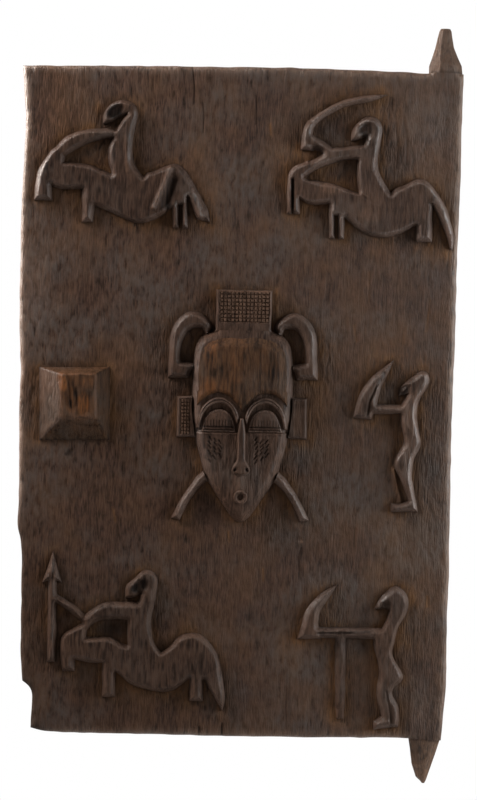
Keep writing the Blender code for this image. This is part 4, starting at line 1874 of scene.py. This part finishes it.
@dataclass
class Plank:
    """The hewn leaf with its wavy edges, tool-marked ground, checks and gouges."""

    thickness: float = 32.0
    rim: float = 5.2
    edge_step: float = 2.0
    waver: Swell = Swell(0.45, 9.0, 9.0, 90)
    pin_from: float = -14.0
    pin_to: float = 15.5
    spacing: float = 2.7
    rows: tuple[float, ...] = (0.5, 1.3, 2.3, 3.4, 4.6)
    moat_rows: tuple[float, ...] = (0.5, 1.3, 2.3, 3.6)
    stroke_rows: tuple[float, ...] = (-1.5, -0.8, -0.25, 0.25, 0.8, 1.5)
    stroke_step: float = 1.0
    walls: tuple[Pair, ...] = (
        (0.0, -9.0), (0.0, -15.0), (0.0, -22.0), (0.0, -28.4), (0.5, -30.2), (1.6, -31.4), (3.4, -31.9)
    )

    hewing: tuple[Swell, ...] = (
        Swell(0.5, 42.0, 80.0, 91), Swell(0.55, 12.0, 26.0, 92), Swell(0.32, 6.0, 15.0, 93)
    )
    rubbing: Swell = Swell(0.5, 16.0, 24.0, 94, 0.5)
    streaks: Swell = Swell(0.45, 3.4, 40.0, 96)
    streak_level: float = 0.35
    moat: Band = Band(0.8, 4.5)
    moat_soot: Band = Band(0.25, 1.3)
    halo: Band = Band(0.95, 7.0)
    halo_least: float = 0.2
    glow: Band = Band(0.45, 30.0)
    rubbed_edge: Band = Band(1.0, 5.0)
    edge_least: float = 0.4
    edge_wear: float = 0.9
    edge_gloss: float = 0.8
    latch_edge: Span = Span(-412.0, 12.0)
    latch_gloss: float = 0.5
    sooty_edge: tuple[Span, Span] = (Span(-390.0, 20.0), Span(230.0, 60.0))
    sooty_edge_cover: float = 0.85
    edge_soot: Band = Band(0.5, 4.0)
    sooty_corner: tuple[Span, Span] = (Span(-300.0, 180.0), Span(120.0, 260.0))
    corner_soot: float = 0.2
    ground_seed: int = 97

    scoop: Pair = (25.0, 44.0)
    scoop_depth: float = 1.9
    scoop_reach: float = 0.62
    scoop_scatter: float = 0.4
    scoop_seed: int = 95
    back_spacing: float = 4.6
    back_rows: tuple[float, ...] = (2.5,)
    back_seed: int = 98
    back_rubbing: Swell = Swell(0.4, 32.0, 60.0, 99, 0.6)
    back_streaks: Swell = Swell(0.6, 5.0, 46.0, 100)
    back_streak_level: float = 0.3
    back_tones: Tones = Tones(0.8, 0.2, 0.35)
    scoop_soot: float = 1.6

    edges: tuple[Place, ...] = (
        (30, 728), (40, 731.5), (64, 733), (128, 734), (198, 736), (250, 737), (330, 738), (409, 738.5), (425, 740),
        (441, 741), (442.5, 722), (446.6, 686), (447, 623), (449, 581), (450, 519), (451, 480), (452, 416),
        (453.7, 378), (455.6, 340), (457, 269), (461, 171), (463, 103), (464, 74), (447, 73), (429, 73), (370, 70),
        (290, 67), (200, 66), (100, 65), (23, 65), (24, 90), (26, 120), (23, 172), (21, 206), (20, 270), (19, 330),
        (20.5, 368), (19, 397), (18.7, 435), (19, 480), (17, 528), (21, 541), (21.5, 568), (20.7, 616), (20, 655),
        (22, 681), (30, 687), (32, 691), (31, 710),
    )
    marks: tuple[Mark, ...] = (
        Stroke(((193, 68), (194.5, 86), (194, 104)), 0.8, lift=-1.0, soot=0.45),
        Stroke(((203, 103), (204, 118), (203, 132)), 0.7, lift=-0.8, soot=0.4),
        Stroke(((256, 96), (257, 110), (256, 124)), 0.8, lift=-0.9, soot=0.4),
        Stroke(((199, 727), (199, 737)), 0.9, lift=-1.6, soot=0.6),
        Stroke(((222, 724), (221.5, 738)), 0.8, lift=-1.5, soot=0.6),
        Stroke(((396, 124), (398, 148), (396, 168)), 1.6, lift=-0.7, soot=0.2),
        Stroke(((405, 122), (407, 146), (406, 165)), 1.6, lift=-0.7, soot=0.2),
        Patch((328, 294), (3.5, 17), lift=-0.7, soot=0.4, turn=-8.0, edge=0.2),
        Stroke(((354, 325), (356, 341)), 1.1, lift=-0.4, wear=0.6),
        Stroke(((430, 300), (426, 331)), 1.3, lift=-0.4, wear=0.6),
        Stroke(((369, 272), (369, 302)), 0.9, lift=-0.5, wear=0.3),
        Stroke(((263, 569), (263, 580)), 1.0, lift=-0.4, wear=0.8),
        Stroke(((228, 532), (229, 541)), 1.2, lift=-0.4, wear=0.8),
        Stroke(((301, 548), (298, 558), (299, 571)), 1.2, lift=-0.8, soot=0.4),
        Patch((300, 541), (3, 2), lift=-0.3, wear=0.8, gloss=0.4),
        Stroke(((113, 509), (115, 521)), 1.4, lift=-0.8, wear=0.9),
        Stroke(((270, 124), (271, 135)), 1.3, lift=-0.6, wear=0.7),
        Patch((69, 453), (4, 6), lift=-1.4, wear=0.1, soot=0.6, turn=-30.0),
        Patch((110, 503), (4, 3), lift=-0.8, soot=0.5),
        # A painted shadow on the ground between the lower rider's arm and the horse's neck.
        Patch((108, 629), (26, 12), lift=-0.6, soot=0.35, edge=0.2),
        Stroke(((394, 470), (397, 486), (401, 502)), 1.8, lift=2.2, wear=0.2),
        Patch((400, 128), (6, 30), wear=0.25),
        Stroke(((427, 597), (427.5, 606)), 1.7, lift=-0.5, wear=0.9),
        Patch((408, 643), (6, 12), wear=0.45, edge=0.2),
        Patch((97, 153), (17, 13), wear=0.55, edge=0.2, gloss=0.15),
        Patch((98, 108), (6, 13), wear=0.5, edge=0.2),
        # Broad painted sheen over the upper and lower right, the latch edge and the hinge side.
        Patch((425, 130), (55, 75), edge=0.1, gloss=0.1),
        Patch((425, 712), (40, 40), edge=0.1, gloss=0.14),
        Patch((32, 300), (30, 80), edge=0.1, gloss=0.2),
        Patch((437, 490), (18, 120), edge=0.1, gloss=0.06),
    )

    def back(self, points: Array) -> Surface:
        """The back, which is left in an adze's shallow scoops, rubbed where they meet and given painted shade in their
        hollows.

        Args:
            points: The places.

        Returns:
            Heights and colour shares.
        """
        hand = np.random.default_rng(self.scoop_seed)
        low, high = points.min(axis=0), points.max(axis=0)
        across, along = (np.arange(start, stop + step, step) for start, stop, step in zip(low, high, self.scoop))
        middles = np.stack(np.meshgrid(across, along), axis=-1).reshape(-1, 2) / self.scoop
        middles += hand.uniform(-self.scoop_scatter, self.scoop_scatter, middles.shape)
        reach = np.minimum(distance(nearest_tree(middles), points / self.scoop) / self.scoop_reach, 1.0)
        height = self.scoop_depth * (1.0 - reach**2) - self.thickness
        rubbed = reach**4 * self.back_rubbing.at(points)
        # Soot and painted shade in the scoops' hollows, and soot streaks.
        soot = self.back_tones.soot * np.clip(1.0 - self.scoop_soot * reach, 0.0, 1.0)
        soot += self.back_streaks.crests(points, level=self.back_streak_level)
        return self.back_tones.surface(height, rubbed, soot)

    def ground(self, outline: Outline, carved: Tree, points: Array) -> Surface:
        """The carved ground at a set of places.

        Args:
            outline: The leaf's outline.
            carved: Search tree over the outlines of everything carved on it.
            points: The places.

        Returns:
            Heights and colour shares.
        """
        across, up = points.T
        rim_line = divided(outline.points, EDGE_STEP)[0]
        at_pins = (rim_line[:, 0] > self.pin_from) & (rim_line[:, 0] < self.pin_to)
        depth = distance(nearest_tree(rim_line[~at_pins]), points)
        near = distance(carved, points)
        inset = np.clip(self.rim - depth, 0.0, self.rim)
        height = sum(swell.at(points) for swell in self.hewing) - self.moat.at(near)
        height -= self.rim - np.sqrt(np.maximum(self.rim**2 - inset**2, 0.0))
        patchy = self.rubbing.at(points)
        # The lower latch edge gets painted shade instead of a rubbed highlight.
        sooty_edge = self.sooty_edge[0].fall(across) * self.sooty_edge[1].fall(up)
        edge = self.rubbed_edge.at(depth) * at_least(self.edge_least, patchy)
        edge *= 1.0 - self.sooty_edge_cover * sooty_edge
        wear = self.halo.at(near) * at_least(self.halo_least, patchy)
        wear += self.glow.at(near) * patchy**2 + self.edge_wear * edge
        # Soot and painted shade in the moat round the carving, and soot streaks.
        soot = self.moat_soot.at(near) + self.streaks.crests(points, level=self.streak_level)
        # Painted shade over the lower latch corner and along the lower latch edge.
        soot += self.corner_soot * self.sooty_corner[0].fall(across) * self.sooty_corner[1].fall(up)
        soot += self.edge_soot.at(depth) * sooty_edge
        # The rubbed edges are worn and get gloss with a painted highlight, more along the latch edge, towards the
        # stronger light.
        gloss = edge * (self.edge_gloss + self.latch_gloss * self.latch_edge.fall(across))
        return mark(Surface(height, wear, soot, gloss), points, self.marks)

    def places(self, outline: Outline, carved: Sequence[Outline]) -> Array:
        """Places on the ground, closer together round the carving and the strokes.

        Args:
            outline: The leaf's outline.
            carved: Outlines of everything carved on its ground.

        Returns:
            The places.
        """
        found = [outline.filling(self.spacing, self.rows, self.ground_seed)]
        for each in carved:
            out = outward(each.points)
            found += [each.points[::2] + out[::2] * row for row in self.moat_rows]
        for each in self.marks:
            if isinstance(each, Stroke):
                line, _ = divided(each.line(), self.stroke_step)
                line = line[: len(line) // 2 + 1]
                found += [line + (shift, 0.0) for shift in self.stroke_rows]
        places = np.vstack(found)
        places = places[within(outline.points, places)]
        return places[distance(close_tree(outline.points, step=EDGE_STEP), places) > EDGE_STEP]

    def build(self, carved: Sequence[Outline]) -> None:
        """Hews the leaf.

        Args:
            carved: Outlines of everything carved on its ground.
        """
        outline = Outline.cut(on_leaf(self.edges), self.edge_step, self.waver, 0)
        places = self.places(outline, carved)
        carved_line = nearest_tree(np.vstack([each.open_line() for each in carved]))
        surface = self.ground(outline, carved_line, np.vstack([outline.points, places]))
        behind = Outline(shrunk(outline.points, self.walls[-1][0]), outline.shared)
        back = behind.filling(self.back_spacing, self.back_rows, self.back_seed)
        mesh = closed_mesh("plank_hewn", outline.points, places, surface, self.walls, back, self.back(back))
        set_piece("plank_hewn", mesh, Finish.PLANK, "plank")


@dataclass(frozen=True)
class Lamp:
    """A soft lamp: where it hangs from the leaf's middle, its power in watts and its colour."""

    name: str
    away: Point
    power: float
    colour: Colour


@dataclass
class Studio:
    """The white surroundings, two raking soft lights and the camera."""

    distance: float = 3.2
    sensor: float = 36.0
    lamp_size: Pair = (0.6, 1.0)
    lamps: tuple[Lamp, ...] = (
        Lamp("soft_left", (-1.05, -0.3, 0.85), 38.0, (1.0, 0.94, 0.88)),
        Lamp("soft_right", (1.05, -0.3, 0.15), 21.0, (0.9, 0.97, 1.0)),
        Lamp("soft_back", (-1.05, 0.42, 0.6), 42.0, (1.0, 0.94, 0.88)),
    )
    fill: float = 0.16
    fill_colour: Colour = (1.0, 0.97, 0.94)
    gloss_share: float = 0.1
    floor_drop: float = 0.45
    floor_share: float = 0.2
    floor_fade: Pair = (0.22, 1.1)
    floor_reach: float = 2.2
    floor_colour: Colour = (0.5, 0.5, 0.5)
    floor_roughness: float = 0.9
    aim: Point = (0.0, 0.0, 0.0)

    def white_backdrop(self, board: NodeBoard) -> Socket:
        """Share of white for what the camera sees, straight or in a gloss or through glass."""
        rays = board.add("ShaderNodeLightPath").outputs
        shares = {"Is Camera Ray": 1.0, "Is Transmission Ray": 1.0, "Is Glossy Ray": self.gloss_share}
        return board.sum(*((rays[name], share) for name, share in shares.items()))

    def world(self) -> None:
        """White surroundings that give the leaf only a soft fill."""
        world = bpy.data.worlds.new("studio")
        bpy.context.scene.world = world
        world.use_nodes = True
        board = NodeBoard(world.node_tree)
        world.node_tree.nodes.clear()
        shades = []
        for colour, strength in ((self.fill_colour, self.fill), ((1.0, 1.0, 1.0), 1.0)):
            node = board.add("ShaderNodeBackground")
            node.inputs["Color"].default_value = (*colour, 1.0)
            node.inputs["Strength"].default_value = strength
            shades.append(node.outputs["Background"])
        mixed = board.mixed_shader(self.white_backdrop(board), *shades)
        board.join(mixed, board.add("ShaderNodeOutputWorld").inputs["Surface"])

    def floor(self) -> None:
        """A plain pale floor below the hung leaf, which fades to white and keeps a faint shadow."""
        mesh = bpy.data.meshes.new("studio_floor")
        reach, level = self.floor_reach, -self.floor_drop
        corners = ((-reach, -reach), (reach, -reach), (reach, reach), (-reach, reach))
        mesh.from_pydata([(*corner, level) for corner in corners], [], [(0, 1, 2, 3)])
        floor = in_scene("studio_floor", mesh)
        material = bpy.data.materials.new("pale_floor")
        material.use_nodes = True
        board = NodeBoard(material.node_tree)
        shader = material.node_tree.nodes["Principled BSDF"]
        shader.inputs["Base Color"].default_value = (*self.floor_colour, 1.0)
        shader.inputs["Roughness"].default_value = self.floor_roughness
        spot = board.add("ShaderNodeVectorMath", operation="DISTANCE")
        board.join(board.add("ShaderNodeTexCoord").outputs["Object"], spot.inputs[0])
        spot.inputs[1].default_value = (self.aim[0], 0.0, level)
        away = board.stretched(spot.outputs["Value"], self.floor_fade)
        pale = board.stretched(away, given=(1.0 - self.floor_share, 1.0))
        share = board.product(self.white_backdrop(board), pale)
        white = board.add("ShaderNodeEmission").outputs["Emission"]
        mixed = board.mixed_shader(share, shader.outputs["BSDF"], white)
        board.join(mixed, material.node_tree.nodes["Material Output"].inputs["Surface"])
        mesh.materials.append(material)

    def hang(self, lamp: Lamp) -> None:
        """Hangs a lamp, turned to the leaf and unseen itself.

        Args:
            lamp: The lamp.
        """
        data = bpy.data.lights.new(lamp.name, "AREA")
        data.shape = "RECTANGLE"
        data.size, data.size_y = self.lamp_size
        data.energy = lamp.power
        data.color = lamp.colour
        hung = in_scene(lamp.name, data)
        across, deep, up = lamp.away
        hung.location = tuple(middle + offset for middle, offset in zip(self.aim, lamp.away))
        hung.rotation_euler = (math.atan2(math.hypot(across, deep), up), 0.0, math.atan2(across, -deep))
        hung.visible_camera = False

    def camera(self) -> None:
        """A long lens square to the leaf, rolled by the picture's lean."""
        data = bpy.data.cameras.new("front")
        data.sensor_width = self.sensor
        data.lens = self.sensor * self.distance / (PICTURE_HEIGHT * MM)
        camera = in_scene("front", data)
        camera.location = (self.aim[0], -GROUND_DEPTH * MM - self.distance, self.aim[2])
        camera.rotation_euler = (math.pi / 2, -PICTURE_LEAN, 0.0)
        bpy.context.scene.camera = camera

    def build(self) -> None:
        """Sets the studio up round the leaf."""
        middle = on_leaf([PICTURE_MIDDLE])[0] * MM
        self.aim = (float(middle[0]), 0.0, float(middle[1]))
        self.world()
        self.floor()
        for lamp in self.lamps:
            self.hang(lamp)
        self.camera()
        bpy.context.scene.view_settings.view_transform = "Standard"


def figure_groups() -> list[FigureGroup]:
    """The riders and the walking figures, with the cuts that each one shows.

    Returns:
        The groups.
    """
    return [
        FigureGroup("upper_left", ("rider", "horse"), seed=10, marks=(
            Patch((122, 170), (130, 110), soot=0.2),
            Patch((116, 112), (12, 8.5), lift=-3.6, soot=0.55, turn=32.0),
            # A raised ridge on the rump, worn, with a painted highlight.
            Stroke(((171, 168), (163, 188), (154, 208)), 2.2, lift=2.6, wear=0.8, gloss=0.2),
            Stroke(((174, 180), (167, 206)), 4.4, lift=-4.2, soot=0.55),
            Stroke(((126, 128), (127, 150), (128, 172)), 1.6, lift=0.9, wear=0.2),
            Stroke(((178, 167), (192, 186), (205, 214)), 4.5, lift=-2.6),
            # Painted highlights along the tail, the horse's head and the rider's left side.
            Stroke(((193, 190), (198, 206), (203, 222)), 2.0, lift=0.8, wear=0.4, gloss=0.5),
            Stroke(((66, 138), (50, 153), (41, 172), (39, 197)), 3.0, gloss=0.4),
            Stroke(((111.5, 142), (110.5, 158), (112, 176)), 2.2, wear=0.1, gloss=0.7),
            Patch((108, 108), (13, 13), soot=0.22),
        ), polish=0.6),
        FigureGroup("upper_right", ("blade", "rider", "horse"), seed=20, marks=(
            Patch((366, 131), (10, 10), lift=-3.4, soot=0.5, turn=40.0),
            Stroke(((292.6, 180), (292.4, 213)), 1.5, lift=-5.0, soot=0.8),
            Stroke(((346, 186), (357, 191), (366, 197)), 1.1, lift=0.8, wear=0.3),
            Patch((332, 188), (17, 9), wear=0.6),
            Patch((372, 215), (16, 10), wear=0.3),
            Patch((317.5, 150), (9, 4.6), lift=-5.6, soot=0.35, turn=-20.0, edge=0.3),
            # A painted highlight spot on the rein, and a painted highlight along the tail's right edge.
            Patch((296, 165.3), (1.8, 1.5), wear=1.0, gloss=0.8),
            Stroke(((431, 189), (441, 207), (448, 228), (451, 246)), 2.2, wear=0.2, gloss=0.8),
        )),
        FigureGroup("lower_left", ("spear", "rider", "horse"), seed=30, marks=(
            # Painted shade over the lower left group, with some wear.
            Patch((130, 650), (130, 110), wear=0.2, soot=0.33),
            Patch((141, 586), (11, 8), lift=-3.2, soot=0.5, turn=35.0),
            Stroke(((170, 645), (186, 638), (204, 636)), 1.2, lift=0.7, wear=0.15),
            Stroke(((54, 560), (53, 578)), 1.2, lift=-1.6, soot=0.4),
        ), polish=0.3),
        FigureGroup("middle_right", ("blade", "figure"), seed=110, marks=(
            Stroke(((367, 416), (370, 401), (376, 386), (384, 373)), 1.5, lift=-2.4, soot=0.3),
            Patch((404, 390), (9, 4.5), lift=-3.4, soot=0.6, turn=40.0),
            # Painted highlights down the figure's right side, on its body, leg and knee, with some wear.
            Stroke(((426, 377), (417, 396), (412, 415), (418, 440)), 2.2, wear=0.3, gloss=0.28),
            Patch((406, 425), (12, 50), wear=0.4, gloss=0.15),
            Stroke(((415, 450), (408, 468), (411, 490), (415, 508)), 2.0, wear=0.3, gloss=0.4),
            Stroke(((404, 448), (396, 462)), 1.6, wear=0.25, gloss=0.45),
        ), polish=0.65),
        FigureGroup("lower_right", ("blade", "figure", "post"), seed=120, marks=(
            Patch((385, 607), (8, 7), lift=-3.4, wear=0.2, soot=0.4, turn=40.0),
            # Painted highlights on the head's front and along the blade's left edge.
            Patch((381, 598), (5, 11), turn=-50.0, edge=0.2, gloss=0.9),
            Stroke(((303, 624), (308, 606), (318, 596)), 3.0, gloss=0.6),
            Stroke(((318, 632.6), (346, 632.6), (370, 632)), 1.4, lift=-1.6, soot=0.5),
            Stroke(((341, 644), (340, 690), (340, 720)), 7.0, lift=-4.2),
            Patch((340, 718), (9, 18), lift=-3.0),
            # Takes wear and painted sheen off the post.
            Patch((340, 682), (10, 46), wear=-0.1, gloss=-0.3),
            Patch((398, 585), (1.6, 1.4), wear=1.0),
            Stroke(((386, 691), (388.5, 704), (391, 727)), 1.4, lift=-1.7, soot=0.12),
            Patch((386, 660), (60, 90), soot=0.08),
            # A raised foot line, worn, with a painted highlight.
            Stroke(((372, 724), (380, 722), (388, 720)), 1.2, lift=0.4, wear=0.3, gloss=0.4),
        ), polish=0.45),
    ]


def clear_scene() -> None:
    """Empties the scene that Blender starts with."""
    for obj in list(bpy.data.objects):
        bpy.data.objects.remove(obj)


def main() -> None:
    """Builds every sub-assembly on the frame, then the studio."""
    logging.basicConfig(level=logging.INFO, format="%(message)s")
    clear_scene()
    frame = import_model()
    groups = figure_groups()
    boss = LockBoss()
    mask = Mask()
    for part in (*groups, boss, mask):
        part.trace(frame["nodes"])
    standing = ("face", "crest", "left_horn", "right_horn", "left_ear", "right_ear", "left_leg", "right_leg")
    carved = [each for group in groups for each in group.outlines.values()]
    carved += [boss.outline, *(mask.outlines[name] for name in standing)]
    Plank().build(carved)
    for part in (Pintles(), boss, mask, *groups, *mask.hatchings(), Studio()):
        part.build()


if __name__ == "__main__":
    main()
